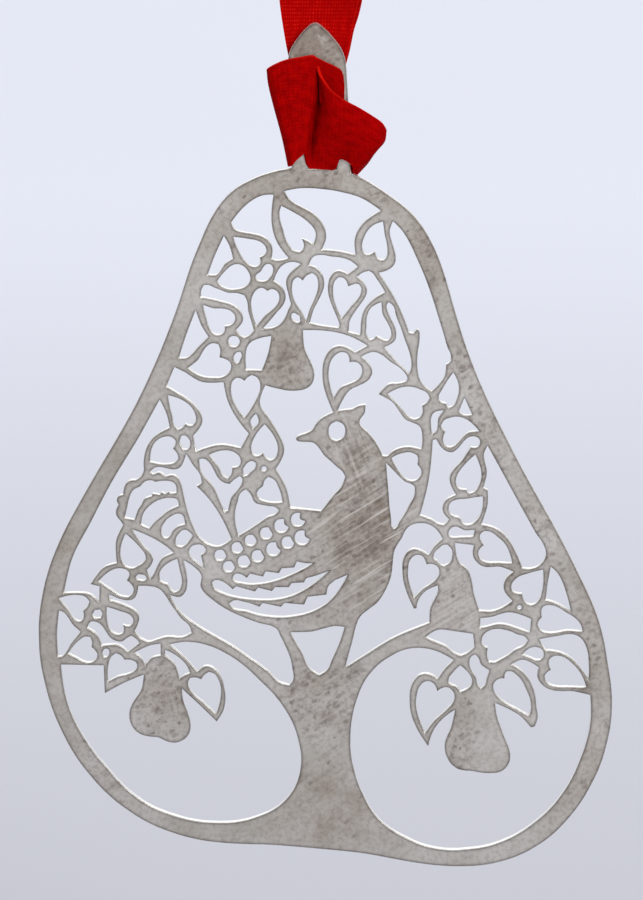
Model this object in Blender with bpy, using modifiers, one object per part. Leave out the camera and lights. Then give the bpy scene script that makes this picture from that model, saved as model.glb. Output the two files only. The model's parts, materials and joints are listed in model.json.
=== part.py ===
"""Pierced silver pear-tree ornament hung on a tied ribbon.

Run with: blender --background --python part.py
Metres, +Z up. The front of the ornament faces -Y. The origin is the top inside of the ribbon loop.
"""
import bmesh
import bpy
from math import cos, pi, radians, sin
from mathutils import Vector

MM = 0.001

# Plate, in millimetres as every size below
PEAR_WIDTH = 64.35
PEAR_HEIGHT = 79.3
PLATE_THICKNESS = 1.2

# Bail, the pointed tab on top that carries the ribbon
BAIL_WIDTH = 6.55
BAIL_HEIGHT = 16.1
BAIL_LEAN = 0.7
SLOT_WIDTH = 3.0
SLOT_HEIGHT = 10.6
SLOT_SHIFT = 0.2

# Ribbon
RIBBON_WIDTH = 12.7
RIBBON_THICKNESS = 0.35
CLEARANCE = 0.3
LOOP_LENGTH = 46.0
LOOP_RADIUS = 4.0
NECK_LENGTH = 8.0
NECK_WIDTH = 10.0
TUCK_WIDTH = 9.2
TUCK_TIP_LEFT = 3.6
TUCK_TIP_RIGHT = 4.1
BEND_GAP = 1.0
TWIST_GAP = 0.4
TIP_RISE = 3.0

# The drawing: u to the right and v upwards on the front face.
# A third number of 1 marks a sharp corner, and every other point is smooth.
DRAWN_WIDTH = 64.35
DRAWN_HEIGHT = 79.3
DRAWN_BASE = 0.7
BAIL_U = 0.93
BAIL_LEFT_FOOT = 79.97
BAIL_RIGHT_FOOT = 79.5
# Half width of the bail as a share of its width, at a share of its height
BAIL_PROFILE = [(0.3, 0.5), (0.63, 0.495), (0.79, 0.455), (0.905, 0.28), (0.97, 0.13)]

PEAR_OUTLINE = [
    (-3.2, 79.88), (-5, 79.45), (-7, 78.65), (-9, 77.4), (-10.95, 75), (-12.4, 72), (-13.6, 69), (-14.9, 65),
    (-16, 62), (-18, 57.2), (-20.3, 52.5), (-23, 47.8), (-26, 42.6), (-28.8, 37), (-30.3, 32), (-30.75, 27),
    (-30.15, 22), (-28.1, 16), (-25, 11.1), (-20.6, 7), (-16, 4.65), (-11, 3.5), (-5, 3.2), (1, 2.7),
    (6, 2.15), (12, 1.05), (17, 0.7), (21, 1.2), (25, 2.9), (28.4, 5.8), (31.4, 10.3), (33, 14.7),
    (33.6, 19.5), (33.1, 24), (32, 29.1), (30, 33.8), (27, 39.7), (24, 45.1), (21.5, 49.9), (19, 55.1),
    (17.05, 60), (15.5, 65), (14.3, 69), (12.9, 72.2), (11, 74.9), (8.5, 76.95), (6, 78.6),
]

TOP_WINDOWS = {
    "crown": [
        (-3.15, 77.5, 1), (-1.5, 77.8), (1, 77.72), (3.5, 77.3), (5.5, 76.65), (7.55, 75.3, 1), (6.3, 74.55),
        (5.1, 73.3), (4.6, 71.9), (4.75, 70.35, 1), (2.8, 70.8), (0.95, 70.95, 1), (1.45, 72.2), (1.2, 73.6),
        (0, 75), (-1.8, 76), (-2.7, 76.7)],
    "crown_leaf": [
        (-3.5, 75.85, 1), (-2, 75.05), (-0.5, 74), (0.3, 72.8), (0.05, 71.55, 1), (-0.5, 71.9), (-1.25, 72.2, 1),
        (-1.0, 71.4), (-1.5, 70.7), (-2.6, 71.4), (-3.3, 73.2), (-3.7, 75)],
    "crown_left": [
        (-9.05, 74, 1), (-7.6, 75.75), (-5.6, 77), (-4.35, 77.1, 1), (-4.6, 74.8), (-4.2, 72.3), (-3.1, 70.5),
        (-2.65, 70, 1), (-4, 69.75), (-4.6, 69.95, 1), (-4.5, 71.2), (-5.4, 72.35), (-7.7, 72.9), (-8.7, 73.3)],
    "left_leaf_a": [
        (-8.85, 72.4, 1), (-7, 72.15), (-5.5, 71.6), (-5.2, 70.6), (-5.9, 70.1, 1), (-5.85, 69.4), (-6.5, 69.05),
        (-7.4, 69.6), (-8.3, 71)],
    "left_wedge_a": [
        (-9.85, 72.5, 1), (-10.9, 70.2), (-11.65, 68.15, 1), (-10.6, 68.2), (-9.8, 69.3), (-8.85, 69.95, 1),
        (-9.25, 71.4)],
    "left_leaf_b": [
        (-10.6, 67.45, 1), (-9.6, 68.7), (-8.4, 69.35), (-7.2, 68.55), (-7.05, 67.3), (-8.4, 66.55), (-10, 66.8)],
    "left_run": [
        (-12.4, 65.65, 1), (-12.1, 67.0), (-11, 66.75), (-9.4, 66.15), (-7.6, 65.85), (-7.2, 64.2), (-6.55, 61.9, 1),
        (-7.6, 61.1), (-8.55, 62, 1), (-7.75, 63.1), (-8.5, 64.5), (-9.9, 65.1)],
    "left_leaf_c": [
        (-12.2, 64.8, 1), (-11.8, 63.2), (-10.9, 61.5), (-9.9, 61.7), (-9.8, 62.4, 1), (-9, 62.6), (-8.65, 63.5),
        (-9.6, 64.3), (-11, 64.4)],
    "left_wedge_b": [
        (-14.9, 58.8, 1), (-14, 61.6), (-13, 64.2, 1), (-12.4, 62.5), (-11.6, 61.2, 1), (-12.8, 60), (-14, 58.85)],
    "left_leaf_d": [
        (-13.9, 57.7, 1), (-12.7, 58.7), (-11.7, 60.2), (-10.5, 60.35), (-10.4, 58.9, 1), (-9.2, 58.3), (-9.5, 57),
        (-11, 56.6), (-12.7, 56.9)],
    "left_bud_a": [(-9.4, 60.8), (-8.8, 61.3), (-8.1, 60.7), (-8.8, 60.05)],
    "left_bud_b": [(-8.75, 59.1), (-8.05, 59.5), (-8.1, 58.6), (-8.45, 58.2)],
    "left_bud_c": [
        (-5.1, 69.35), (-4.5, 69.1), (-4.8, 67.8), (-5.6, 67.4), (-6.4, 67.9), (-5.8, 68.5)],
    "middle_leaf_a": [
        (-5.05, 66.35, 1), (-5.7, 66.7), (-6.6, 66), (-6.8, 64.3), (-6.25, 62.4, 1), (-5.3, 63.6), (-4, 64.8),
        (-3.8, 66), (-4.5, 66.55)],
    "middle_run_a": [
        (-5.6, 62.1, 1), (-4.3, 62.25), (-3.3, 63), (-2.75, 64.2), (-2.45, 64.85, 1), (-2.75, 66.1), (-2.95, 67.6),
        (-2.1, 68.75), (-1.3, 69.35, 1), (-2.3, 69.6), (-3.6, 69), (-4.35, 67.45, 1), (-3.4, 66.7), (-3.05, 65.4),
        (-4, 63.95)],
    "middle_leaf_b": [
        (-1.15, 67.5, 1), (-1.75, 67.9), (-2.3, 66.9), (-2, 65.2), (-1.25, 64), (-0.75, 62.9, 1), (-0.35, 64.3),
        (0.3, 65.8), (0.55, 67.4), (-0.1, 68.35)],
    "middle_run_b": [
        (-0.45, 69.2, 1), (0.1, 70.2), (2, 70.2), (4, 69.8), (5, 69.05, 1), (3.85, 68.2, 1), (2.7, 68.6),
        (1.7, 67.2), (2, 65), (2.95, 62.5), (2.85, 62.2, 1), (1, 62.45), (-0.35, 62.75, 1), (0.1, 64.3),
        (0.95, 66), (1.25, 67.5), (0.4, 68.9)],
    "middle_leaf_c": [
        (3.9, 66.85, 1), (3.6, 67.6), (2.8, 67.85), (2.25, 66.6), (2.6, 64.6), (3.2, 63.3, 1), (4.3, 64.7),
        (5.3, 66.1), (5.1, 67.1), (4.4, 67.05)],
    "middle_run_c": [
        (4.9, 67.95, 1), (6.2, 68.6), (7, 67.8), (8, 66.2, 1), (6.9, 65.55), (5.6, 64), (5.3, 62.2), (5.25, 61.35, 1),
        (4, 61.8, 1), (4.1, 63), (5.3, 64.9), (6, 66.3), (5.6, 67.3)],
    "middle_leaf_d": [
        (7.05, 61.3, 1), (6.35, 60.85), (5.95, 62.4), (6.4, 64.4), (7.6, 65.1, 1), (7.75, 63.7), (8.65, 61.9),
        (8.4, 60.8), (7.7, 60.95)],
    "middle_slit": [
        (8.4, 65.1), (9.2, 63.6), (10.15, 61), (10.95, 58), (10.7, 57.05, 1), (9.3, 58.4), (7.9, 60.05, 1),
        (9.1, 60.8), (9.1, 62.3), (8.25, 64.2)],
    "right_leaf_a": [
        (7.75, 74.1, 1), (6.7, 73.7), (5.7, 72.4), (5.6, 70.7), (6.1, 70.4), (6.85, 70.75, 1), (7.2, 70),
        (7.9, 69.85), (8.25, 70.7), (7.95, 72.6)],
    "right_run": [
        (8.85, 74.15, 1), (8.5, 73), (9, 71), (9.1, 69.5), (8.2, 68.65), (7.25, 68.4, 1), (8.7, 66.2), (9.9, 63.8),
        (10.7, 61.7, 1), (11.2, 61.6), (11.6, 62.05), (11.85, 61.6), (11.65, 59.5), (12, 56.2), (13.2, 55.05, 1),
        (14.6, 56.7), (14.8, 58.1, 1), (15.35, 58.5), (14.95, 60), (13.95, 63.3), (12.75, 67), (11.5, 70),
        (10, 72.9)],
}

LEFT_WINDOWS = {
    "edge_run": [
        (-17.05, 54.15, 1), (-16.3, 52.5), (-15.95, 50.95, 1), (-17.6, 50), (-18.65, 48.4), (-18.95, 45.85, 1),
        (-19.75, 45.05, 1), (-20.35, 44.98), (-20.95, 44.5), (-21.2, 43.35, 1), (-21.7, 43.2), (-21.9, 42.7),
        (-21.7, 42.25, 1), (-21.97, 41.7), (-21.95, 41), (-21.5, 40.4), (-21.2, 39.95, 1), (-22, 38.2),
        (-21.95, 35.6, 1), (-23.4, 35.1), (-24.9, 33.2, 1), (-23.9, 32.95, 1), (-23.95, 31.15, 1), (-24.9, 32),
        (-26.2, 32.2), (-27.9, 32.15, 1), (-26.9, 36.2), (-25, 39.9), (-22.4, 44.9), (-19.5, 49.7)],
    "leaf_a": [
        (-28.5, 31.6, 1), (-26.2, 31.95), (-25.05, 31.2), (-25.75, 30.15, 1), (-25.8, 29.15), (-26.35, 28.95),
        (-27.35, 30.15)],
    "edge_gap": [
        (-28.45, 30.2, 1), (-27.9, 29.95), (-26.95, 28.6), (-26.05, 27.75, 1), (-27.2, 26.3), (-28.1, 24.95),
        (-28.6, 24.85, 1), (-28.7, 27.5)],
    "leaf_b": [
        (-27.5, 25.25, 1), (-26.2, 26.8), (-25, 27.15), (-24.85, 26, 1), (-24.2, 25.1), (-25, 24.2), (-26.5, 24.75)],
    "bud_a": [(-24.75, 29.7), (-23.85, 30.3), (-23.8, 29.3)],
    "leaf_c": [
        (-23.1, 30.6, 1), (-21.6, 30.1), (-20.2, 29.3), (-20.5, 28.4), (-21.3, 28.55, 1), (-21.3, 27.6),
        (-22.3, 27.6), (-23, 28.7)],
    "leaf_gap": [
        (-25.3, 28.2, 1), (-24.85, 28.95), (-23.6, 28.35), (-22.7, 27.05), (-21.4, 26.65), (-20.4, 27.3),
        (-19.45, 26.45, 1), (-20.75, 25.45, 1), (-21.8, 26.2), (-23.65, 26.15, 1), (-24.2, 27.4)],
    "bud_b": [(-23.45, 25.75), (-22.95, 25.7), (-23.05, 24.9), (-23.45, 24.85)],
    "leaf_d": [
        (-23, 22.05, 1), (-22.95, 24), (-22.1, 25.3), (-21.15, 24.55, 1), (-19.9, 24.3), (-19.9, 23.4),
        (-21.8, 22.65)],
    "stem_left": [
        (-20.05, 25.35, 1), (-18.4, 26.15), (-17.1, 26.4, 1), (-17.1, 25, 1), (-18.1, 24.75), (-18.8, 23.9, 1),
        (-19.3, 24.8)],
    "stem_right": [
        (-16.6, 25.7, 1), (-15.3, 25), (-14.2, 23.9), (-13.8, 23, 1), (-14.5, 22.7), (-15, 22.3, 1), (-15.5, 24),
        (-16.6, 25, 1)],
    "trunk_left": [
        (-28.3, 24, 1), (-26, 23.95), (-23.5, 23.9, 1), (-23.4, 20.7, 1), (-21.3, 21.85), (-19, 22.85, 1), (-19.3, 21.1),
        (-20.5, 19.1), (-20.45, 17.1), (-19.2, 15.9), (-17.4, 15.6), (-15.8, 15), (-14.1, 15.8), (-13.8, 17.4),
        (-14.6, 19.9), (-14.75, 21.25, 1), (-12.8, 19.4), (-10.85, 17.45, 1), (-10.05, 18.8), (-10, 21.5),
        (-10.9, 23.35), (-12.1, 23.8), (-12.95, 23.15, 1), (-14.8, 25.2), (-16.1, 26.3, 1), (-14, 26.6), (-10, 25.4),
        (-6, 22.2), (-3, 18.6), (-1.6, 15), (-1.45, 11.8), (-3, 8.5), (-6, 6.55), (-10.5, 5.75), (-16, 6.7),
        (-20, 8.8), (-23.1, 12), (-26, 16), (-27.7, 20)],
    "leaf_e": [
        (-12.55, 22.3, 1), (-13.8, 22.45), (-13.9, 21.3), (-12.5, 19.8), (-10.9, 18.3, 1), (-10.4, 20.2),
        (-10.7, 22.4), (-11.7, 23.15)],
    "fork": [
        (-22.65, 31.3, 1), (-21, 30.75), (-19.5, 29.6), (-20, 27.85, 1), (-19.4, 27.05), (-18.4, 26.6, 1),
        (-16.3, 27.2), (-13.6, 27.6), (-14.8, 29.3), (-16, 31), (-17.3, 32.7), (-19.55, 33, 1), (-20, 31.6),
        (-21.2, 31.4), (-22.9, 32.1, 1)],
    "leaf_f": [
        (-24, 33.55, 1), (-22.6, 34.75), (-21.2, 34.95), (-20.55, 34.4), (-20.85, 33.65, 1), (-20.1, 32.7),
        (-20.7, 31.7), (-22.5, 32.5)],
    "bud_c": [(-19.85, 34), (-19.2, 34.3), (-18.6, 33.8), (-19.3, 33.6)],
    "leaf_g": [
        (-20.95, 38.95, 1), (-21.5, 37.3), (-21.15, 35.45), (-20.2, 35), (-19.55, 35.3, 1), (-18.7, 36),
        (-19.2, 37.2)],
    "leaf_gap_b": [
        (-20.3, 39.5, 1), (-18.4, 38.7), (-16.4, 37.5), (-15.55, 36.75, 1), (-16.9, 36.1), (-17.7, 34.6),
        (-18.2, 33.75, 1), (-18.6, 34.8, 1), (-17.85, 36), (-18.9, 37.5)],
    "leaf_h": [
        (-15.2, 36.1, 1), (-16.8, 35.1), (-17.1, 33.6), (-16.25, 33.2, 1), (-15.5, 32.25), (-14.75, 33),
        (-14.9, 34.7)],
    "perch": [
        (-14.55, 36, 1), (-12.5, 34.2), (-12.6, 33), (-11.5, 31.6), (-8, 29.5), (-4.15, 28.15, 1), (-3.2, 26.3),
        (-2.3, 23.4), (-2.65, 21.6), (-5, 23.2), (-9, 26.1), (-13, 28.5), (-15.2, 30.4), (-16.05, 32, 1),
        (-14.9, 31.75), (-14.1, 32.9)],
    "rump": [
        (-13.9, 36.9), (-13.05, 37.7), (-11.95, 37.1), (-12.55, 36.5, 1), (-12.2, 35, 1), (-13, 35.7)],
    "thorn": [
        (-18.2, 45.95, 1), (-17.6, 46.45), (-16.9, 46.5), (-16, 46.3), (-15, 46.35), (-14.5, 46.95), (-14.15, 48, 1),
        (-13.4, 46.75), (-12.4, 44.75), (-13, 44.35, 1), (-11.8, 43.1), (-10.2, 40.7), (-9.1, 38.3, 1), (-10.5, 37.5),
        (-12.1, 38), (-13.3, 39.6), (-14.4, 43.2), (-14.85, 44.95), (-15.25, 45.45), (-15.8, 45.6), (-16.4, 45.45, 1),
        (-17.2, 45.9), (-17.75, 45.7)],
    "leaf_i": [
        (-18.15, 47.1, 1), (-17.85, 48.9), (-16.5, 49.95), (-15.3, 49.5), (-15.6, 48.6, 1), (-15, 47.5),
        (-16, 46.85)],
    "leaf_j": [
        (-16.15, 54.65, 1), (-14.4, 54), (-13.1, 52.4), (-13.4, 51.2), (-14.2, 51.4, 1), (-15, 50.75), (-15.65, 52.2)],
    "bud_d": [(-14.7, 50), (-14.05, 49.95), (-13.8, 48.7), (-14.4, 48.5)],
    "shoulder": [
        (-13, 48.3, 1), (-13.35, 50.05, 1), (-12.3, 51.7), (-13.2, 53.5), (-15.1, 54.9), (-16.3, 55.6, 1),
        (-15.4, 57.8, 1), (-14.2, 57.2), (-12.4, 56.15), (-9.95, 56.1, 1), (-9.5, 54), (-8.2, 51.6), (-7.15, 50.3, 1),
        (-8.05, 48.65, 1), (-10.3, 49.05)],
    "leaf_k": [
        (-11.6, 47.9, 1), (-10, 48.4), (-8.3, 47.8), (-8.2, 46.7), (-9, 46.45, 1), (-9.5, 45.2), (-10.5, 46.5)],
    "twig_gap": [
        (-12.7, 47.4), (-11.6, 47.05), (-10.6, 45.3), (-9.3, 44.6), (-8.2, 45.5), (-7.9, 44.8), (-9.1, 43.1),
        (-9.5, 41.55, 1), (-9.85, 41.45, 1), (-11.15, 44.35)],
    "leaf_l": [
        (-7.6, 56.25, 1), (-8.5, 56.6), (-9.1, 55.6), (-8.5, 53.3), (-7.6, 52.1, 1), (-6.3, 54.2), (-5.9, 56),
        (-6.8, 56.9)],
    "bud_e": [(-6.65, 50.85, 1), (-6.95, 51.7), (-6.35, 52.55, 1), (-6.05, 51.6)],
    "leaf_m": [
        (-5.4, 51.35, 1), (-6.5, 49.9), (-6.8, 48.2), (-6.2, 47.75), (-5.55, 48.1, 1), (-4.75, 47.25), (-4, 48),
        (-4.3, 49.9)],
    "bud_f": [(-7.15, 47.1), (-6.35, 46.9), (-7, 45.9), (-7.65, 45.5)],
    "bud_g": [(-5.75, 46.3), (-5.45, 46.6), (-5.15, 46.3), (-5.45, 46)],
    "leaf_n": [
        (-5.6, 44.35, 1), (-5, 45.4), (-3.85, 44.2), (-3.4, 42.5, 1), (-5.3, 42.6), (-6.3, 43.5)],
    "wing_gap": [
        (-8.3, 38.7, 1), (-8.7, 40.5), (-8.4, 42.6), (-7.5, 44), (-6.5, 42.5), (-5, 42.1), (-3.8, 41.6), (-5, 40.85),
        (-7, 39.5)],
    "pear_gap": [
        (-7.4, 57.5, 1), (-7.1, 60.4), (-4.6, 61.3, 1), (-5, 59.3), (-5.7, 57.4, 1)],
    "pear_stem": [(-2.4, 63.6), (-2.05, 63.9), (-1.4, 62.9), (-2, 62.9)],
}

RIGHT_WINDOWS = {
    "beak": [
        (-5.3, 55.75, 1), (-5.9, 53.7), (-5, 52.2), (-3.8, 50.2), (-3.2, 48.3), (-4.15, 46.3, 1), (-3, 44.2),
        (-2.5, 41.9, 1), (0.9, 41.5, 1), (2.2, 43.2), (3.6, 45.4), (2.7, 46.5), (1.2, 47.9), (0.15, 49.2), (-0.5, 49.35),
        (-1.5, 49.4), (-1.87, 49.6), (-1.8, 49.88), (-1, 50.25), (-0.1, 50.7), (0.3, 51.35), (1, 52.05), (2.25, 52.7, 1),
        (1.35, 55), (1.05, 57), (1.4, 59), (2.5, 60.1), (3.8, 60),
        (4.7, 59.45, 1), (6.1, 60.2, 1), (4, 61.3), (1.2, 61.9), (-1.1, 61.95, 1), (-0.9, 59.8), (0.1, 57.4),
        (-0.2, 55.8), (-1.8, 55.15), (-3.8, 55.35)],
    "heart": [
        (4.05, 58.35, 1), (3.8, 59.3), (2.7, 59.3), (1.8, 57.7), (1.9, 55.8), (2.3, 54.3, 1), (3.1, 55.5), (5, 56.4),
        (5.45, 57.6), (4.8, 58.35)],
    "crest": [
        (7.75, 47.8, 1), (8.3, 47.75, 1), (9.1, 48.4), (10.6, 48.8), (12.1, 48.5, 1), (12.05, 50.8), (11.7, 51.25),
        (10.3, 51.9), (8.9, 53.8), (7.3, 54.75, 1), (8.5, 55.9), (10.4, 56.2), (10.4, 56.85), (8.6, 58.4), (6.8, 59.5),
        (5.4, 59, 1), (6.6, 57.4), (6, 56.2), (4.1, 55.2), (2.7, 52.8, 1), (3.6, 52.98), (4.4, 53.08), (5.05, 53.42),
        (5.85, 53.55, 1), (5.75, 52.6), (5.18, 51.7), (5.4, 51.1), (6.1, 50.45), (7.3, 48.8)],
    "leaf_a": [
        (8.3, 54.8, 1), (10, 55.55), (12, 55.25), (13, 54.3), (12.15, 53.45, 1), (12.1, 52.4), (11.2, 51.95),
        (10, 53)],
    "leaf_b": [
        (15.6, 57.2, 1), (16.15, 56), (16, 54.2), (15.1, 53.2), (14.85, 53.7, 1), (14, 54.1), (14.3, 55.15)],
    "edge_wedge": [(16.85, 54.35, 1), (17.75, 52.4, 1), (16.8, 52.4), (16.25, 52.8, 1)],
    "branch_slot": [
        (14.65, 52.95, 1), (13.4, 52.6), (13.15, 51.3), (13.3, 50.2, 1), (13.8, 50.7), (13.95, 52)],
    "leaf_c": [
        (14.75, 50.55, 1), (14.25, 51.2), (15.3, 52.1), (17, 51.95), (18.6, 50.5, 1), (17.3, 50.4), (16.2, 49.3),
        (15.2, 48.75), (14.5, 49.5)],
    "branch_right": [
        (13.35, 49.6, 1), (13.75, 49.65, 1), (14.4, 48.65), (15.5, 48.2), (16.5, 49.05), (17.4, 49.9), (18.5, 49.7),
        (18.4, 48.8), (17.6, 48.75, 1), (16.5, 47.1), (15.3, 45.6), (15.4, 44.4), (16, 43.35, 1), (14.8, 42.7),
        (14.5, 41.5), (15.2, 40.6, 1), (14.6, 39.95), (13.3, 40.55), (11.95, 41.05, 1), (12.8, 44.4), (13.2, 47.4)],
    "leaf_d": [
        (8.75, 47.55, 1), (10, 48.1), (11.6, 47.85), (11.65, 46.8, 1), (12.1, 46), (11.3, 44.95), (10.1, 45.4)],
    "back_slit": [
        (8.15, 47, 1), (9.3, 45.8), (10.3, 44.85), (11.35, 44.3), (10.8, 42.3), (9.6, 40.2), (9.05, 39.45), (8.75, 40.5),
        (8.45, 43.5)],
    "leaf_e": [
        (17.15, 43.95, 1), (16.3, 44.1), (15.95, 45), (16.6, 46.4), (18.1, 47.95, 1), (18.75, 46), (18.5, 44.4),
        (17.45, 43.5)],
    "leaf_f": [
        (16.4, 40.75, 1), (15.3, 41.3), (15.4, 42.5), (17, 42.9), (18.95, 43.2, 1), (18.9, 41.8), (18, 40.2),
        (17, 40)],
    "leaf_slot": [
        (15.15, 39.1), (15.9, 39.75), (16.9, 39.35), (18.1, 39.4, 1), (17.9, 38.6, 1), (16.4, 38.55), (15.4, 38.6)],
    "edge_run": [
        (19.45, 48.95, 1), (19.05, 47.9), (19.4, 46), (19, 44.15, 1), (19.5, 43.9, 1), (19.5, 42.3), (18.8, 40, 1),
        (20.3, 39.6), (21.6, 38.6), (22.6, 37), (23.45, 35, 1), (24.4, 34.95), (25.5, 35.5), (26.05, 36.8), (24.9, 39),
        (22.9, 42.6), (20.9, 46.3)],
    "leaf_g": [
        (19.1, 37.65, 1), (18.65, 38.7), (19.3, 39.25), (20.6, 38.6), (21.7, 37.4), (22.3, 35.55, 1), (20.7, 35.65),
        (19, 35.85), (18.5, 36.9)],
    "pear_right": [
        (18.65, 30.15, 1), (20.1, 30.1), (21.6, 30.75), (22.35, 31.3, 1), (21.4, 32.5), (21.6, 33.8), (22.5, 34.6, 1),
        (20.8, 35.2), (19.1, 35.2), (17.9, 36.4), (18, 37.65, 1), (15.85, 37.9, 1), (16.4, 35.6, 1), (17.4, 34.7),
        (18, 32.2)],
    "leaf_h": [
        (23.4, 32.1, 1), (22.3, 32.4), (22.5, 33.6), (24, 34.4), (25.75, 34.85, 1), (25.65, 32.4), (24.7, 30.85),
        (23.75, 31.2)],
    "bud_a": [(22.85, 30.6), (23.2, 30.8), (23.4, 30.5), (23.05, 30.3)],
    "edge_gap": [
        (26.6, 35.2, 1), (26.3, 33.5), (26.05, 31.4, 1), (27.3, 31), (28.9, 30.05, 1), (28.4, 32), (27.4, 34.4)],
    "leaf_i": [
        (25.65, 29.4, 1), (25.7, 30.5), (26.6, 30.8), (28.3, 30), (29.9, 28.75), (30.25, 27.75, 1), (28.4, 27.87),
        (26.2, 27.65), (25.15, 28.6)],
    "edge_gap_b": [
        (25.35, 26.9, 1), (27.6, 27.3), (29.2, 27.45), (30.3, 26.7), (30.95, 24), (30.95, 22.25, 1), (29.6, 24.1),
        (28.3, 25.15), (26.9, 25.55), (26.2, 25.6, 1)],
    "leaf_j": [
        (26.7, 23.4, 1), (26.5, 24.5), (27.5, 25), (29, 24.2), (30.2, 22.7), (30.7, 21.35, 1), (28.5, 21.42),
        (26.6, 21.7), (26, 22.7)],
    "bud_b": [
        (23.5, 25.15, 1), (24.5, 25.95), (25.8, 25.55), (25.5, 24.5), (24.6, 24.7)],
    "leaf_gap": [
        (18.75, 29.3, 1), (20.2, 29.5), (21.8, 29.97), (23.4, 29.65), (24.45, 29.2, 1), (24.3, 27.65, 1), (22.8, 28.2),
        (21, 28.65), (19.4, 28.3), (18.75, 28.2, 1)],
    "leaf_k": [
        (19.6, 25.9, 1), (18.9, 26.5), (19.6, 27.8), (21.4, 28), (22.9, 27.45), (24.1, 26.8), (22.7, 25.7), (21, 24.55),
        (19.8, 24.3)],
    "leaf_l": [
        (21.5, 22.4, 1), (21.7, 23.2), (22.8, 22.85), (23.9, 21.2), (24.5, 19.2), (24.3, 18.1, 1), (22.8, 18.95),
        (21.1, 20), (20.25, 21.6), (20.9, 22.35)],
    "stem_slot": [
        (18.2, 25.15), (17.55, 24.3), (18.3, 22.5), (18.9, 21.25), (19.5, 22.4), (19.8, 23.35, 1), (18.85, 24)],
    "stem_left": [
        (16.5, 23.9, 1), (15.6, 22.95), (15.2, 21.95), (16.1, 21.45), (16.55, 20.85, 1), (17.6, 21.4), (17.85, 22.2),
        (17, 23.5)],
    "pear_top": [
        (12.6, 27.1, 1), (13.9, 27.95), (15.6, 27.85), (17.95, 27.5, 1), (18.1, 26, 1), (16.6, 25), (15, 26.05),
        (13.5, 26.7)],
    "leaf_m": [
        (13.95, 20.95, 1), (13.5, 21.85), (12.5, 22), (11.65, 20.4), (11.7, 18.6), (12.6, 16.1, 1), (13.6, 17.5),
        (15.2, 19), (15.9, 20.3), (15, 21.4)],
    "leaf_n": [
        (12.7, 35.45, 1), (12.2, 36.4), (11.2, 36.35), (10.65, 35), (10.8, 33.3), (11.35, 31.65, 1), (12.4, 32.7),
        (13.9, 33.9), (14.05, 35), (13.3, 35.5)],
    "bud_c": [
        (13.45, 36.2), (14.1, 37.3), (15, 37.7), (15.55, 36.3), (14.65, 35.25), (13.9, 35.85)],
    "back": [
        (3.6, 23.6, 1), (6.2, 25.3), (9.2, 27.15), (13.05, 28.75, 1), (13.15, 30.5), (14, 32.4), (13.95, 33.05, 1),
        (12.6, 32.4), (11.7, 31.1), (11.6, 30.45, 1), (11.3, 30.4, 1), (10.4, 32.5), (10, 34.8), (10.4, 36.65),
        (11.4, 37.2), (12.95, 36.5, 1), (13.6, 37.5), (14.5, 38.35, 1), (13.6, 39.6), (12.1, 40.15), (10.6, 39.65),
        (9.95, 38.5), (9.1, 37), (8.75, 34.2), (7.2, 31.1), (5.3, 29.5), (4.5, 27)],
    "trunk_right": [
        (4.2, 15.5), (4.6, 12), (5.65, 9), (7.3, 6.3), (10.5, 4), (14, 2.75), (17.5, 2.7), (21, 3.45), (25, 5.8),
        (28, 9), (30, 12.9), (31.2, 17.5), (31.15, 20.5, 1), (29, 20.95), (26.7, 21.1), (25.2, 22.5), (25.35, 23.65, 1),
        (23.5, 24.55), (22.25, 24, 1), (23.4, 23.3), (24.6, 21.6), (25.1, 19.2), (24.95, 16.9), (24.45, 16.8, 1),
        (23.2, 18.15), (20.45, 19.6, 1), (20.7, 18), (21.6, 15.5), (22.2, 13.3), (21.5, 11.9), (20.3, 11.5), (17.8, 11.75),
        (16, 12.15), (14.8, 14.6), (15.5, 16.7), (16, 18.85, 1), (14.5, 17.7), (13.4, 16.1), (12.95, 14.6, 1),
        (11.5, 17), (10.85, 20), (11.7, 22.6), (13, 22.9), (14, 22.35, 1), (14.8, 23.5), (15.8, 24.5, 1), (13.8, 25.55),
        (11, 25.85), (8.8, 25), (6.6, 23.2), (5.1, 20.5)],
}

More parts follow.
